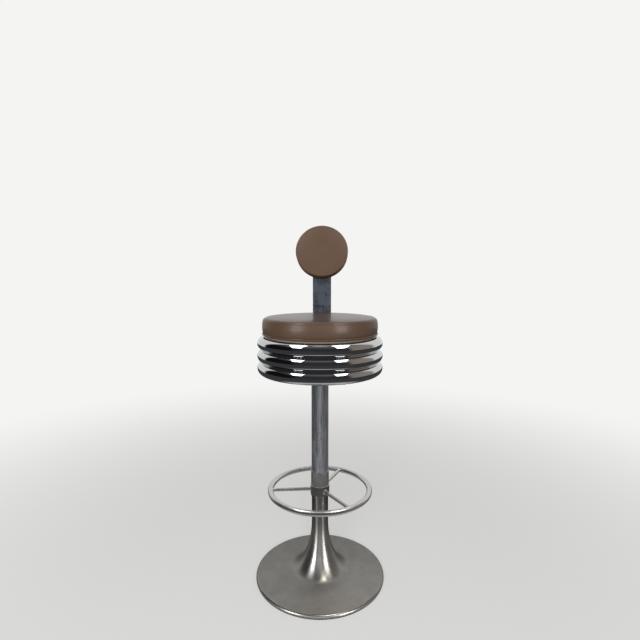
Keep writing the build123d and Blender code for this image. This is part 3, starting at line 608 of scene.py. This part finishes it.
# Bright chrome plate: a cold sharp mirror with the odd smear and a slight ripple from polishing.
bright_chrome, tree, shader, place = start_material("bright_chrome_plate")
SMEAR = 38 * MM
POLISH_RIPPLE = 30 * MM
POLISH_RIPPLE_DEPTH = 0.3 * MM
FINE_SCRATCH = 3 * MM
smears = add_node(
    tree, "TexNoise", {"Scale": 1 / SMEAR, "Detail": 6.0, "Roughness": 0.7}, {"Vector": place}
)
ripple = add_node(tree, "TexNoise", {"Scale": 1 / POLISH_RIPPLE, "Detail": 1.0}, {"Vector": place})
fine_scratches = add_node(
    tree, "TexNoise", {"Scale": 1 / FINE_SCRATCH, "Detail": 6.0, "Distortion": 2.0}, {"Vector": place}
)
chrome_colour = add_node(
    tree,
    "Mix",
    {"data_type": "RGBA", 6: linear("#B9BBBD"), 7: linear("#D3D4D4")},
    {0: smears.outputs["Fac"]},
)
smear_gloss = add_node(
    tree,
    "MapRange",
    {"From Min": 0.42, "From Max": 0.75, "To Min": 0.03, "To Max": 0.12},
    {"Value": smears.outputs["Fac"]},
)
scratch_gloss = add_node(
    tree,
    "MapRange",
    {"From Min": 0.55, "From Max": 0.8, "To Min": 0.0, "To Max": 0.08},
    {"Value": fine_scratches.outputs["Fac"]},
)
chrome_gloss = add_node(
    tree,
    "Math",
    {"operation": "ADD"},
    {0: smear_gloss.outputs["Result"], 1: scratch_gloss.outputs["Result"]},
)
ripple_bump = add_node(
    tree, "Bump", {"Strength": 0.2, "Distance": POLISH_RIPPLE_DEPTH}, {"Height": ripple.outputs["Fac"]}
)

# The collar under the seat is painted a dull brownish grey and made only partly metallic: a painted
# reflection of the brown seat above it.
COLLAR_HEIGHT = 7 * MM
COLLAR_FADE_BELOW = 0.5 * MM
COLLAR_FADE_ABOVE = 1 * MM
COLLAR_ROUGHNESS = 0.45
COLLAR_METALLIC = 0.3
collar_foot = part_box("ribbed_drum")[1].z - COLLAR_HEIGHT
up_drum = add_node(tree, "SeparateXYZ", None, {"Vector": place})
collar = add_node(
    tree,
    "MapRange",
    {
        "interpolation_type": "SMOOTHSTEP",
        "From Min": collar_foot - COLLAR_FADE_BELOW,
        "From Max": collar_foot + COLLAR_FADE_ABOVE,
    },
    {"Value": up_drum.outputs["Z"]},
)
# Painted reflection of the seat: a brownish grey mixed into the chrome on the collar.
collar_painted_reflection = add_node(
    tree,
    "Mix",
    {"data_type": "RGBA", 7: linear("#BFB1A3")},
    {0: collar.outputs["Result"], 6: chrome_colour.outputs[2]},
)
collar_gloss = add_node(
    tree,
    "Mix",
    {"data_type": "FLOAT", 3: COLLAR_ROUGHNESS},
    {0: collar.outputs["Result"], 2: chrome_gloss.outputs["Value"]},
)
collar_metal = add_node(
    tree, "MapRange", {"To Min": 1.0, "To Max": COLLAR_METALLIC}, {"Value": collar.outputs["Result"]}
)
tree.links.new(collar_metal.outputs["Result"], shader.inputs["Metallic"])
tree.links.new(collar_painted_reflection.outputs[2], shader.inputs["Base Color"])
tree.links.new(collar_gloss.outputs[0], shader.inputs["Roughness"])
tree.links.new(ripple_bump.outputs["Normal"], shader.inputs["Normal"])
finish_in(bright_chrome, nodes["ribbed_drum"])


# Seat: foam glued on a plywood board, with brown leatherette pulled down over the edge
# and stapled under the board, which six screws hold from inside the drum.

# Plywood: pale veneers, warm and dry.
plywood, tree, shader, place = start_material("birch_plywood")
VENEER = 1.5 * MM
FIGURE_LENGTH = 111.1 * MM
FIGURE_WIDTH = 16.67 * MM
veneer_place = add_node(
    tree,
    "VectorMath",
    {"operation": "MULTIPLY", 1: (1 / FIGURE_LENGTH, 1 / FIGURE_WIDTH, 1 / VENEER)},
    {0: place},
)
veneer = add_node(
    tree, "TexNoise", {"Scale": 1.0, "Detail": 5.0}, {"Vector": veneer_place.outputs["Vector"]}
)
plywood_colour = add_node(
    tree,
    "Mix",
    {"data_type": "RGBA", 6: linear("#A9855A"), 7: linear("#CBAA7C")},
    {0: veneer.outputs["Fac"]},
)
shader.inputs["Roughness"].default_value = 0.65
tree.links.new(plywood_colour.outputs[2], shader.inputs["Base Color"])
finish_in(plywood, nodes["seat_board"])
finish_in(zinc_plate, nodes["board_screws"])

# Leatherette, PVC on cotton: brown with a satin skin, a pebbled grain and slow changes of tone.
# It is shiny on top, where it has been sat on, and has faint pull lines round the side.
leatherette, tree, shader, place = start_material("brown_leatherette")
PEBBLE = 1.6 * MM  # the real grain is about half as wide, and is drawn this wide so that it shows
PEBBLE_DEPTH = 0.12 * MM
PEBBLE_SHADE = 0.18
TONE_PATCH = 55 * MM
pebbles = add_node(tree, "TexVoronoi", {"Scale": 1 / PEBBLE, "feature": "SMOOTH_F1"}, {"Vector": place})
tone = add_node(tree, "TexNoise", {"Scale": 1 / TONE_PATCH, "Detail": 4.0}, {"Vector": place})
hide_colour = add_node(
    tree,
    "Mix",
    {"data_type": "RGBA", 6: linear("#574233"), 7: linear("#624D3E")},
    {0: tone.outputs["Fac"]},
)
hide_colour.name = "hide_colour"
pebble_colour = add_node(
    tree,
    "Mix",
    {"data_type": "RGBA", "blend_type": "MULTIPLY", 0: PEBBLE_SHADE},
    {6: hide_colour.outputs[2], 7: pebbles.outputs["Distance"]},
)
hide_gloss = add_node(tree, "MapRange", {"To Min": 0.36, "To Max": 0.48}, {"Value": tone.outputs["Fac"]})
pebble_bump = add_node(
    tree, "Bump", {"Strength": 0.12, "Distance": PEBBLE_DEPTH}, {"Height": pebbles.outputs["Distance"]}
)
PULL_LINE = 6 * MM
PULL_LENGTH = 160 * MM
PULL_DEPTH = 1.0 * MM
pull_place = add_node(
    tree,
    "VectorMath",
    {"operation": "MULTIPLY", 1: (1 / PULL_LENGTH, 1 / PULL_LENGTH, 1 / PULL_LINE)},
    {0: place},
)
pull_lines = add_node(
    tree, "TexNoise", {"Scale": 1.0, "Detail": 2.0}, {"Vector": pull_place.outputs["Vector"]}
)
pull_bump = add_node(
    tree,
    "Bump",
    {"Strength": 0.35, "Distance": PULL_DEPTH},
    {"Height": pull_lines.outputs["Fac"], "Normal": pebble_bump.outputs["Normal"]},
)
SIDE_TILT = 0.2
TOP_TILT = 0.9
SIDE_SHINE = 0.08
TOP_SHINE = 0.36
facing_up = add_node(
    tree, "SeparateXYZ", None, {"Vector": add_node(tree, "TexCoord").outputs["Normal"]}
)
sat_on = add_node(
    tree,
    "MapRange",
    {
        "interpolation_type": "SMOOTHSTEP",
        "From Min": SIDE_TILT,
        "From Max": TOP_TILT,
        "To Min": SIDE_SHINE,
        "To Max": TOP_SHINE,
    },
    {"Value": facing_up.outputs["Z"]},
)
shader.inputs["Specular IOR Level"].default_value = 0.15
shader.inputs["Coat Roughness"].default_value = 0.15
tree.links.new(sat_on.outputs["Result"], shader.inputs["Coat Weight"])
tree.links.new(pebble_colour.outputs[2], shader.inputs["Base Color"])
tree.links.new(hide_gloss.outputs["Result"], shader.inputs["Roughness"])
tree.links.new(pull_bump.outputs["Normal"], shader.inputs["Normal"])


def stuffed_round(name, radius, height, crown, edge, foot, draw_in, cloth_step, swell_limit):
    """A round cushion on a flat underside at height nought, swelled by its filling under a tight cover."""
    PAD_ROUND_STEPS = 128
    FOOT_STEPS, SIDE_STEPS, EDGE_STEPS, CROWN_STEPS = 4, 8, 8, 10
    SLACK = 1.5 * MM
    FILLING_PRESSURE = 4.0
    EASING_PASSES = 24
    LAST_FRAME = 20
    r, top = radius - SLACK, height - crown - SLACK
    side_low, side_high = foot, top - edge
    outline = [(r - foot, 0.0)]
    for step in range(1, FOOT_STEPS + 1):
        a = math.pi / 2 * step / FOOT_STEPS
        outline.append((r - foot + foot * math.sin(a), foot - foot * math.cos(a)))
    for step in range(1, SIDE_STEPS + 1):
        t = step / SIDE_STEPS
        outline.append((r - draw_in * math.sin(math.pi * t), side_low + (side_high - side_low) * t))
    for step in range(1, EDGE_STEPS + 1):
        a = math.pi / 2 * step / EDGE_STEPS
        outline.append((r - edge + edge * math.cos(a), side_high + edge * math.sin(a)))
    for step in range(1, CROWN_STEPS):
        t = 1 - step / CROWN_STEPS
        outline.append(((r - edge) * t, top + crown * (1 - t * t)))
    pad = bmesh.new()
    angles = [math.tau * i / PAD_ROUND_STEPS for i in range(PAD_ROUND_STEPS)]
    rows = []
    for out, z in outline:
        rows.append([pad.verts.new((out * math.cos(a), out * math.sin(a), z)) for a in angles])
    under, over = pad.verts.new((0, 0, 0)), pad.verts.new((0, 0, top + crown))
    for i in range(PAD_ROUND_STEPS):
        j = (i + 1) % PAD_ROUND_STEPS
        pad.faces.new((under, rows[0][j], rows[0][i]))
        pad.faces.new((over, rows[-1][i], rows[-1][j]))
        for low, high in zip(rows, rows[1:]):
            pad.faces.new((low[i], low[j], high[j], high[i]))
    mesh = bpy.data.meshes.new(name)
    pad.to_mesh(mesh)
    pad.free()
    piece = bpy.data.objects.new(name, mesh)
    bpy.context.scene.collection.objects.link(piece)
    bpy.context.view_layer.objects.active = piece
    mesh.remesh_voxel_size = cloth_step
    bpy.ops.object.voxel_remesh()
    mesh = piece.data
    before = np.array([v.co for v in mesh.vertices])
    outwards = np.array([v.normal for v in mesh.vertices])
    held = piece.vertex_groups.new(name="stapled_underside")
    held.add([v.index for v in mesh.vertices if v.co.z < foot / 2], 1.0, "REPLACE")
    cloth = piece.modifiers.new("filling", "CLOTH")
    cloth.settings.use_pressure = True
    cloth.settings.uniform_pressure_force = FILLING_PRESSURE
    cloth.settings.effector_weights.gravity = 0.0
    cloth.settings.vertex_group_mass = held.name
    for step in range(1, LAST_FRAME + 1):
        bpy.context.scene.frame_set(step)
    swelled = piece.evaluated_get(bpy.context.evaluated_depsgraph_get()).data
    moves = np.array([v.co for v in swelled.vertices]) - before
    piece.modifiers.remove(cloth)
    sinking = np.minimum(np.sum(moves * outwards, axis=1, keepdims=True), 0)
    moves -= sinking * outwards
    lengths = np.linalg.norm(moves, axis=1, keepdims=True)
    moves *= np.minimum(1.0, swell_limit / np.maximum(lengths, swell_limit / 100))
    ends = np.array([e.vertices for e in mesh.edges])
    links = np.bincount(ends.ravel(), minlength=len(before))[:, None]
    for _ in range(EASING_PASSES):
        around = np.zeros_like(moves)
        np.add.at(around, ends[:, 0], moves[ends[:, 1]])
        np.add.at(around, ends[:, 1], moves[ends[:, 0]])
        moves = (moves + around / links) / 2
    for vertex, spot in zip(mesh.vertices, before + moves):
        vertex.co = spot
    bpy.context.scene.frame_set(1)
    widest = max(v.co.xy.length for v in mesh.vertices)
    lowest = min(v.co.z for v in mesh.vertices)
    highest = max(v.co.z for v in mesh.vertices)
    fit = radius / widest
    for vertex in mesh.vertices:
        x, y, z = vertex.co
        vertex.co = (x * fit, y * fit, (z - lowest) * height / (highest - lowest))
    mesh.shade_smooth()
    smoothing = piece.modifiers.new("stretched_skin", "SUBSURF")
    smoothing.levels = smoothing.render_levels = 1
    return piece


COVER_CLOTH = 1.5 * MM
seat_low, seat_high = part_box("seat_cover")
seat_radius = (seat_high.x - seat_low.x) / 2
seat_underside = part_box("seat_board")[0].z - COVER_CLOTH
seat_cushion = stuffed_round(
    "seat_cushion",
    radius=seat_radius,
    height=seat_high.z - seat_underside,
    crown=3 * MM,
    edge=9 * MM,
    foot=8 * MM,
    draw_in=-1.2 * MM,
    cloth_step=4 * MM,
    swell_limit=3 * MM,
)
seat_cushion.data.transform(Matrix.Translation((0, 0, seat_underside)))
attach(seat_cushion, "seat")
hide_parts("seat_cover", "seat_foam")
finish_in(leatherette, seat_cushion)

# The welt is a thick cord in the same leatherette, sewn in round the foot of the cover.
WELT_RADIUS = 3 * MM
WELT_UNEVENNESS = 0.05
WELT_LUMPS = 14
WELT_ROUND_STEPS = 240
WELT_SECTION_STEPS = 12
welt = bmesh.new()
welt_rings = []
for i in range(WELT_ROUND_STEPS):
    a = math.tau * i / WELT_ROUND_STEPS
    outwards = Vector((math.cos(a), math.sin(a), 0))
    lumps = 1 + WELT_UNEVENNESS * noise.noise(outwards * WELT_LUMPS)
    ring = []
    for k in range(WELT_SECTION_STEPS):
        b = math.tau * k / WELT_SECTION_STEPS
        out = seat_radius - WELT_RADIUS + WELT_RADIUS * lumps * math.cos(b)
        up = seat_low.z + WELT_RADIUS + WELT_RADIUS * lumps * math.sin(b)
        ring.append(welt.verts.new(outwards * out + Vector((0, 0, up))))
    welt_rings.append(ring)
for near, far in zip(welt_rings, welt_rings[1:] + welt_rings[:1]):
    for k in range(WELT_SECTION_STEPS):
        j = (k + 1) % WELT_SECTION_STEPS
        welt.faces.new((near[k], far[k], far[j], near[j]))
bmesh.ops.recalc_face_normals(welt, faces=welt.faces)
welt_mesh = bpy.data.meshes.new("seat_welt")
welt.to_mesh(welt_mesh)
welt.free()
welt_mesh.shade_smooth()
seat_welt = add_piece("seat_welt", welt_mesh, "seat")
finish_in(leatherette, seat_welt)


# Back bar: a flat steel bar, bent up behind the drum and back under the pad, then chromed.
# It is clamped between the flange and the carrier plate, so it turns with the seat.

# Scratched chrome: a dark blue-grey mirror of the room, hazed by soft blotches and long scratches.
scratched_chrome, tree, shader, place = start_material("scratched_chrome_plate")
HAZE = 16 * MM
SCRATCH_WIDTH = 1.5 * MM
SCRATCH_LENGTH = 45 * MM
SCRATCH_DEPTH = 0.05 * MM
haze = add_node(
    tree, "TexNoise", {"Scale": 1 / HAZE, "Detail": 5.0, "Roughness": 0.6}, {"Vector": place}
)
scratch_place = add_node(
    tree,
    "VectorMath",
    {"operation": "MULTIPLY", 1: (1 / SCRATCH_WIDTH, 1 / SCRATCH_WIDTH, 1 / SCRATCH_LENGTH)},
    {0: place},
)
scratches = add_node(
    tree, "TexNoise", {"Scale": 1.0, "Detail": 4.0}, {"Vector": scratch_place.outputs["Vector"]}
)
hazed_colour = add_node(
    tree,
    "Mix",
    {"data_type": "RGBA", 6: linear("#7A8395"), 7: linear("#ADB4C2")},
    {0: scratches.outputs["Fac"]},
)
haze_shade = add_node(
    tree,
    "MapRange",
    {"From Min": 0.3, "From Max": 0.55, "To Min": 0.45, "To Max": 1.0},
    {"Value": haze.outputs["Fac"]},
)
blotched_colour = add_node(
    tree,
    "Mix",
    {"data_type": "RGBA", "blend_type": "MULTIPLY", 0: 1.0},
    {6: hazed_colour.outputs[2], 7: haze_shade.outputs["Result"]},
)
haze_gloss = add_node(
    tree,
    "MapRange",
    {"From Min": 0.35, "From Max": 0.65, "To Min": 0.26, "To Max": 0.42},
    {"Value": haze.outputs["Fac"]},
)
scratch_bump = add_node(
    tree, "Bump", {"Strength": 0.15, "Distance": SCRATCH_DEPTH}, {"Height": scratches.outputs["Fac"]}
)
shader.inputs["Metallic"].default_value = 0.8
tree.links.new(blotched_colour.outputs[2], shader.inputs["Base Color"])
tree.links.new(haze_gloss.outputs["Result"], shader.inputs["Roughness"])
tree.links.new(scratch_bump.outputs["Normal"], shader.inputs["Normal"])

# The bar's edges are slightly rounded, as rolled flat bar is.
BAR_EDGE_ROUND = 1.3 * MM
BAR_EDGE_STEPS = 3
SAME_POINT = 0.01 * MM
FLAT_ANGLE = math.radians(0.4)
EDGE_ANGLE = math.radians(50)
SHADING_ANGLE = math.radians(35)
bar = bmesh.new()
bar.from_mesh(nodes["back_bar"].data)
bmesh.ops.remove_doubles(bar, verts=bar.verts, dist=SAME_POINT)
bmesh.ops.dissolve_limit(bar, angle_limit=FLAT_ANGLE, verts=bar.verts, edges=bar.edges)
bar_edges = [e for e in bar.edges if len(e.link_faces) == 2 and e.calc_face_angle() > EDGE_ANGLE]
bmesh.ops.bevel(
    bar, geom=bar_edges, offset=BAR_EDGE_ROUND, segments=BAR_EDGE_STEPS, profile=0.5, affect="EDGES"
)
bar_mesh = bpy.data.meshes.new("rounded_back_bar")
bar.to_mesh(bar_mesh)
bar.free()
bar_mesh.shade_smooth()
bar_mesh.set_sharp_from_angle(angle=SHADING_ANGLE)
rounded_back_bar = add_piece("rounded_back_bar", bar_mesh, "seat")
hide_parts("back_bar")
finish_in(scratched_chrome, rounded_back_bar)


# Backrest: a round pad made as the seat is, with a covered panel over its staples.
# Two dome-headed bolts through the bar reach tee nuts in its board.

board_low, board_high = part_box("backrest_board")
board_middle = (board_low + board_high) / 2
facing = max(nodes["backrest_board"].data.polygons, key=lambda face: face.area).normal.copy()
facing = facing if facing.y < 0 else -facing
cover_points = [v.co - board_middle for v in nodes["backrest_cover"].data.vertices]
back_of_pad = min(p.dot(facing) for p in cover_points)
front_of_pad = max(p.dot(facing) for p in cover_points)
backrest_cushion = stuffed_round(
    "backrest_cushion",
    radius=max((p - facing * p.dot(facing)).length for p in cover_points),
    height=front_of_pad - back_of_pad,
    crown=3 * MM,
    edge=3.5 * MM,
    foot=2.5 * MM,
    draw_in=0.5 * MM,
    cloth_step=2.5 * MM,
    swell_limit=2 * MM,
)
sideways = Vector((1, 0, 0))
upright = facing.cross(sideways)
lean = Matrix((sideways, upright, facing)).transposed().to_4x4()
backrest_cushion.data.transform(Matrix.Translation(board_middle + facing * back_of_pad) @ lean)
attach(backrest_cushion, "seat")
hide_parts("backrest_cover", "backrest_foam")

# The same leatherette, not yet darkened and polished by sitters.
# Its side is darkened with painted shade, and its face keeps the full colour.
matt_leatherette = leatherette.copy()
matt_leatherette.name = "matt_brown_leatherette"
tree = matt_leatherette.node_tree
matt_shader = tree.nodes["Principled BSDF"]
for link in list(matt_shader.inputs["Coat Weight"].links):
    tree.links.remove(link)
matt_shader.inputs["Coat Weight"].default_value = 0.0
matt_hide = tree.nodes["hide_colour"]
matt_hide.inputs[6].default_value = linear("#654E3E")
matt_hide.inputs[7].default_value = linear("#725B4B")
matt_shader.inputs["Specular IOR Level"].default_value = 0.25
PAD_SIDE_SHADE = 0.55
PAD_SIDE_TILT = 0.35
PAD_FACE_TILT = 0.9
facing_front = add_node(
    tree,
    "VectorMath",
    {"operation": "DOT_PRODUCT", 1: facing},
    {0: add_node(tree, "TexCoord").outputs["Normal"]},
)
# Painted shade: the pad's colour is darkened where it turns away from the front.
pad_side_shade = add_node(
    tree,
    "MapRange",
    {
        "interpolation_type": "SMOOTHSTEP",
        "From Min": PAD_SIDE_TILT,
        "From Max": PAD_FACE_TILT,
        "To Min": PAD_SIDE_SHADE,
        "To Max": 1.0,
    },
    {"Value": facing_front.outputs["Value"]},
)
side_shaded_colour = add_node(
    tree,
    "Mix",
    {"data_type": "RGBA", "blend_type": "MULTIPLY", 0: 1.0},
    {6: matt_shader.inputs["Base Color"].links[0].from_socket, 7: pad_side_shade.outputs["Result"]},
)
tree.links.new(side_shaded_colour.outputs[2], matt_shader.inputs["Base Color"])
finish_in(matt_leatherette, backrest_cushion, nodes["backrest_back_panel"])
finish_in(plywood, nodes["backrest_board"])
finish_in(zinc_plate, nodes["backrest_tee_nuts"], nodes["backrest_bolts"])


# Studio: a pale floor that runs out into white, a broad soft front lamp, and things for the metal
# to mirror: a dome of dark cloth, two ceiling lamps, two tall windows, a dim wall and a warm bulb.
# The camera sees none of those.

scene = bpy.context.scene
scene.view_settings.view_transform = "Standard"


def add_stage(name, corners, faces):
    """A stage piece from corners and faces."""
    mesh = bpy.data.meshes.new(name)
    mesh.from_pydata(corners, [], faces)
    piece = bpy.data.objects.new(name, mesh)
    scene.collection.objects.link(piece)
    return piece


FLOOR_REACH = 7.0
FLOOR_STEPS = 64
floor_angles = [math.tau * i / FLOOR_STEPS for i in range(FLOOR_STEPS)]
floor_corners = [(FLOOR_REACH * math.cos(a), FLOOR_REACH * math.sin(a), 0) for a in floor_angles]
studio_floor = add_stage("studio_floor", floor_corners, [tuple(range(FLOOR_STEPS))])

# Pale floor paint: matt and off-white, lost in the white of the room a few steps away.
FLOOR_FADE_START = 0.5
FLOOR_FADE_END = 2.6
NEAR_GLOW = 0.4
floor_paint, tree, shader, place = start_material("pale_floor_paint")
far = add_node(tree, "VectorMath", {"operation": "LENGTH"}, {0: place})
fade = add_node(
    tree,
    "MapRange",
    {
        "interpolation_type": "SMOOTHSTEP",
        "From Min": FLOOR_FADE_START,
        "From Max": FLOOR_FADE_END,
        "To Min": NEAR_GLOW,
    },
    {"Value": far.outputs["Value"]},
)
shader.inputs["Base Color"].default_value = linear("#F0EFEC")
shader.inputs["Roughness"].default_value = 0.8
shader.inputs["Specular IOR Level"].default_value = 0.1
white_end = add_node(tree, "Emission", {"Color": linear("#F4F4F3"), "Strength": 1.0})
floor_mix = add_node(
    tree,
    "MixShader",
    None,
    {0: fade.outputs["Result"], 1: shader.outputs["BSDF"], 2: white_end.outputs["Emission"]},
)
tree.links.new(floor_mix.outputs["Shader"], tree.nodes["Material Output"].inputs["Surface"])
floor_paint.cycles.emission_sampling = "NONE"
finish_in(floor_paint, studio_floor)

# The dome of cloth: dark on the left and in front, warm grey on the right, lighter overhead.
DOME_DISTANCE = 5.0
DOME_HALF_ANGLE = 114
DOME_TOP = 84
DOME_STEPS = 24
OVERHEAD_START = 0.62 * DOME_DISTANCE
OVERHEAD_END = 0.98 * DOME_DISTANCE
dome_corners, dome_faces = [], []
for i in range(DOME_STEPS + 1):
    rise = math.radians(DOME_TOP * i / DOME_STEPS)
    for j in range(DOME_STEPS + 1):
        a = math.radians(DOME_HALF_ANGLE * (2 * j / DOME_STEPS - 1))
        out = DOME_DISTANCE * math.cos(rise)
        dome_corners.append((out * math.sin(a), -out * math.cos(a), DOME_DISTANCE * math.sin(rise)))
for i in range(DOME_STEPS):
    for j in range(DOME_STEPS):
        k = i * (DOME_STEPS + 1) + j
        dome_faces.append((k, k + 1, k + DOME_STEPS + 2, k + DOME_STEPS + 1))
dome = add_stage("cloth_dome", dome_corners, dome_faces)
dome_cloth, tree, shader, place = start_material("dome_cloth")
across = add_node(tree, "SeparateXYZ", None, {"Vector": place})
ahead = add_node(tree, "Math", {"operation": "MULTIPLY", 1: -1.0}, {0: across.outputs["Y"]})
bearing = add_node(
    tree, "Math", {"operation": "ARCTAN2"}, {0: across.outputs["X"], 1: ahead.outputs["Value"]}
)
bearing_share = add_node(
    tree,
    "MapRange",
    {"From Min": -math.radians(DOME_HALF_ANGLE), "From Max": math.radians(DOME_HALF_ANGLE)},
    {"Value": bearing.outputs["Value"]},
)
cloths = add_node(tree, "ValToRGB", None, {"Fac": bearing_share.outputs["Result"]})
cloth_colours = (
    (-DOME_HALF_ANGLE, "#E4E4E2"),
    (-108, "#141416"),
    (-52, "#161618"),
    (-36, "#37383C"),
    (52, "#3A3A3D"),
    (62, "#948A81"),
    (106, "#A29890"),
    (DOME_HALF_ANGLE, "#E4E4E2"),
)
stops = cloths.color_ramp.elements
while len(stops) < len(cloth_colours):
    stops.new(0.5)
for stop, (angle, colour) in zip(stops, cloth_colours):
    stop.position = (angle + DOME_HALF_ANGLE) / (2 * DOME_HALF_ANGLE)
    stop.color = linear(colour)
overhead = add_node(
    tree,
    "MapRange",
    {"interpolation_type": "SMOOTHSTEP", "From Min": OVERHEAD_START, "From Max": OVERHEAD_END},
    {"Value": across.outputs["Z"]},
)
dome_colour = add_node(
    tree,
    "Mix",
    {"data_type": "RGBA", 7: linear("#6E6D6B")},
    {0: overhead.outputs["Result"], 6: cloths.outputs["Color"]},
)
glow = add_node(tree, "Emission", {"Strength": 1.0}, {"Color": dome_colour.outputs[2]})
tree.links.new(glow.outputs["Emission"], tree.nodes["Material Output"].inputs["Surface"])
dome_cloth.cycles.emission_sampling = "NONE"
finish_in(dome_cloth, dome)
dome.visible_camera = dome.visible_diffuse = dome.visible_shadow = False

# The mat under the dome: pale round the base, and dark further out.
MAT_THICKNESS = 0.5 * MM
MAT_FADE_START = 0.24
MAT_FADE_END = 0.6
mat_corners = [
    (DOME_DISTANCE * x, DOME_DISTANCE * y, MAT_THICKNESS) for x, y in ((-1, -1), (1, -1), (1, 1), (-1, 1))
]
dark_mat = add_stage("dark_floor_mat", mat_corners, [(0, 1, 2, 3)])
mat_paint, tree, shader, place = start_material("dark_mat_cloth")
mat_far = add_node(tree, "VectorMath", {"operation": "LENGTH"}, {0: place})
mat_shade = add_node(
    tree,
    "MapRange",
    {"interpolation_type": "SMOOTHSTEP", "From Min": MAT_FADE_START, "From Max": MAT_FADE_END},
    {"Value": mat_far.outputs["Value"]},
)
mat_colour = add_node(
    tree,
    "Mix",
    {"data_type": "RGBA", 6: linear("#D8D7D5"), 7: linear("#444446")},
    {0: mat_shade.outputs["Result"]},
)
glow = add_node(tree, "Emission", {"Strength": 1.0}, {"Color": mat_colour.outputs[2]})
tree.links.new(glow.outputs["Emission"], tree.nodes["Material Output"].inputs["Surface"])
mat_paint.cycles.emission_sampling = "NONE"
finish_in(mat_paint, dark_mat)
dark_mat.visible_camera = dark_mat.visible_diffuse = dark_mat.visible_shadow = False


def add_lamp(name, middle, lean, turn, width, length, brightness):
    """A flat soft lamp that shines down, leant towards +Y and turned round the vertical, in degrees."""
    lamp = bpy.data.lights.new(name, "AREA")
    lamp.shape = "RECTANGLE"
    lamp.size, lamp.size_y = width, length
    lamp.energy = brightness * math.pi * width * length
    holder = bpy.data.objects.new(name, lamp)
    holder.location = middle
    holder.rotation_euler = (math.radians(lean), 0, math.radians(turn))
    holder.visible_camera = False
    scene.collection.objects.link(holder)
    return holder


def share_lamp(lamp, state, *pieces):
    """Lets a lamp shine on some pieces only, or keeps it off them, by light linking."""
    shared = bpy.data.collections.new(lamp.name + "_pieces")
    for piece in pieces:
        shared.objects.link(piece)
    for entry in shared.collection_objects:
        entry.light_linking.link_state = state
    lamp.light_linking.receiver_collection = shared


# The front lamp lights everything, and isn't mirrored. The others are only mirrored:
# the ceiling lamps in all but the base, and the rest in the few pieces that they are shared with.
CEILING = 2.3
for side, name in ((-1, "left_ceiling_lamp"), (1, "right_ceiling_lamp")):
    ceiling_lamp = add_lamp(
        name, middle=(side, -0.71, CEILING), lean=0, turn=side * 28, width=0.62, length=1.7, brightness=7.0
    )
    ceiling_lamp.visible_diffuse = False
    share_lamp(ceiling_lamp, "EXCLUDE", nodes["base_trumpet"])
WINDOW_DISTANCE = 3.6
WINDOW_BEARING = 42
for side, name in ((-1, "left_window"), (1, "right_window")):
    bearing = math.radians(side * WINDOW_BEARING)
    window = add_lamp(
        name,
        middle=(WINDOW_DISTANCE * math.sin(bearing), -WINDOW_DISTANCE * math.cos(bearing), 1.3),
        lean=90,
        turn=side * WINDOW_BEARING,
        width=1.4,
        length=2.0,
        brightness=13.0,
    )
    window.visible_diffuse = False
    share_lamp(window, "INCLUDE", nodes["base_trumpet"], seat_cushion)
facing_wall = add_lamp(
    "facing_wall", middle=(0, -WINDOW_DISTANCE, 1.2), lean=90, turn=0, width=2.4, length=2.2, brightness=1.6
)
facing_wall.visible_diffuse = False
share_lamp(facing_wall, "INCLUDE", nodes["base_trumpet"], nodes["column_tube"])
warm_bulb = add_lamp(
    "warm_bulb", middle=(0.43, -0.44, CEILING), lean=0, turn=0, width=0.3, length=0.3, brightness=68.0
)
warm_bulb.data.color = linear("#FFF8EC")[:3]
warm_bulb.visible_diffuse = False
share_lamp(warm_bulb, "INCLUDE", nodes["base_trumpet"])
front_lamp = add_lamp(
    "front_lamp", middle=(-0.3, -3.5, 1.9), lean=78, turn=0, width=2.4, length=1.8, brightness=7.0
)
front_lamp.visible_glossy = False

# The room is white to the camera and to the metal, and dimmer as a light.
ROOM_LIGHT = 0.38
world = bpy.data.worlds.new("white_room")
scene.world = world
world.use_nodes = True
tree = world.node_tree
rays = add_node(tree, "LightPath")
camera_or_gloss = add_node(
    tree,
    "Math",
    {"operation": "MAXIMUM"},
    {0: rays.outputs["Is Camera Ray"], 1: rays.outputs["Is Glossy Ray"]},
)
seen = add_node(
    tree,
    "Math",
    {"operation": "MAXIMUM"},
    {0: camera_or_gloss.outputs["Value"], 1: rays.outputs["Is Transmission Ray"]},
)
level = add_node(tree, "MapRange", {"To Min": ROOM_LIGHT, "To Max": 1.0}, {"Value": seen.outputs["Value"]})
room = tree.nodes["Background"]
room.inputs["Color"].default_value = linear("#F4F4F3")
tree.links.new(level.outputs["Result"], room.inputs["Strength"])

LENS = 25.5
FILM_WIDTH = 36.0
CAMERA_PLACE = (0.0456, -1.3052, 0.902)
CAMERA_TILT = math.radians(84.5)
CAMERA_TURN = math.radians(2.0)
camera = bpy.data.cameras.new("photograph_view")
camera.lens = LENS
camera.sensor_width = FILM_WIDTH
camera_holder = bpy.data.objects.new("photograph_view", camera)
camera_holder.location = CAMERA_PLACE
camera_holder.rotation_euler = (CAMERA_TILT, 0.0, CAMERA_TURN)
scene.collection.objects.link(camera_holder)
scene.camera = camera_holder
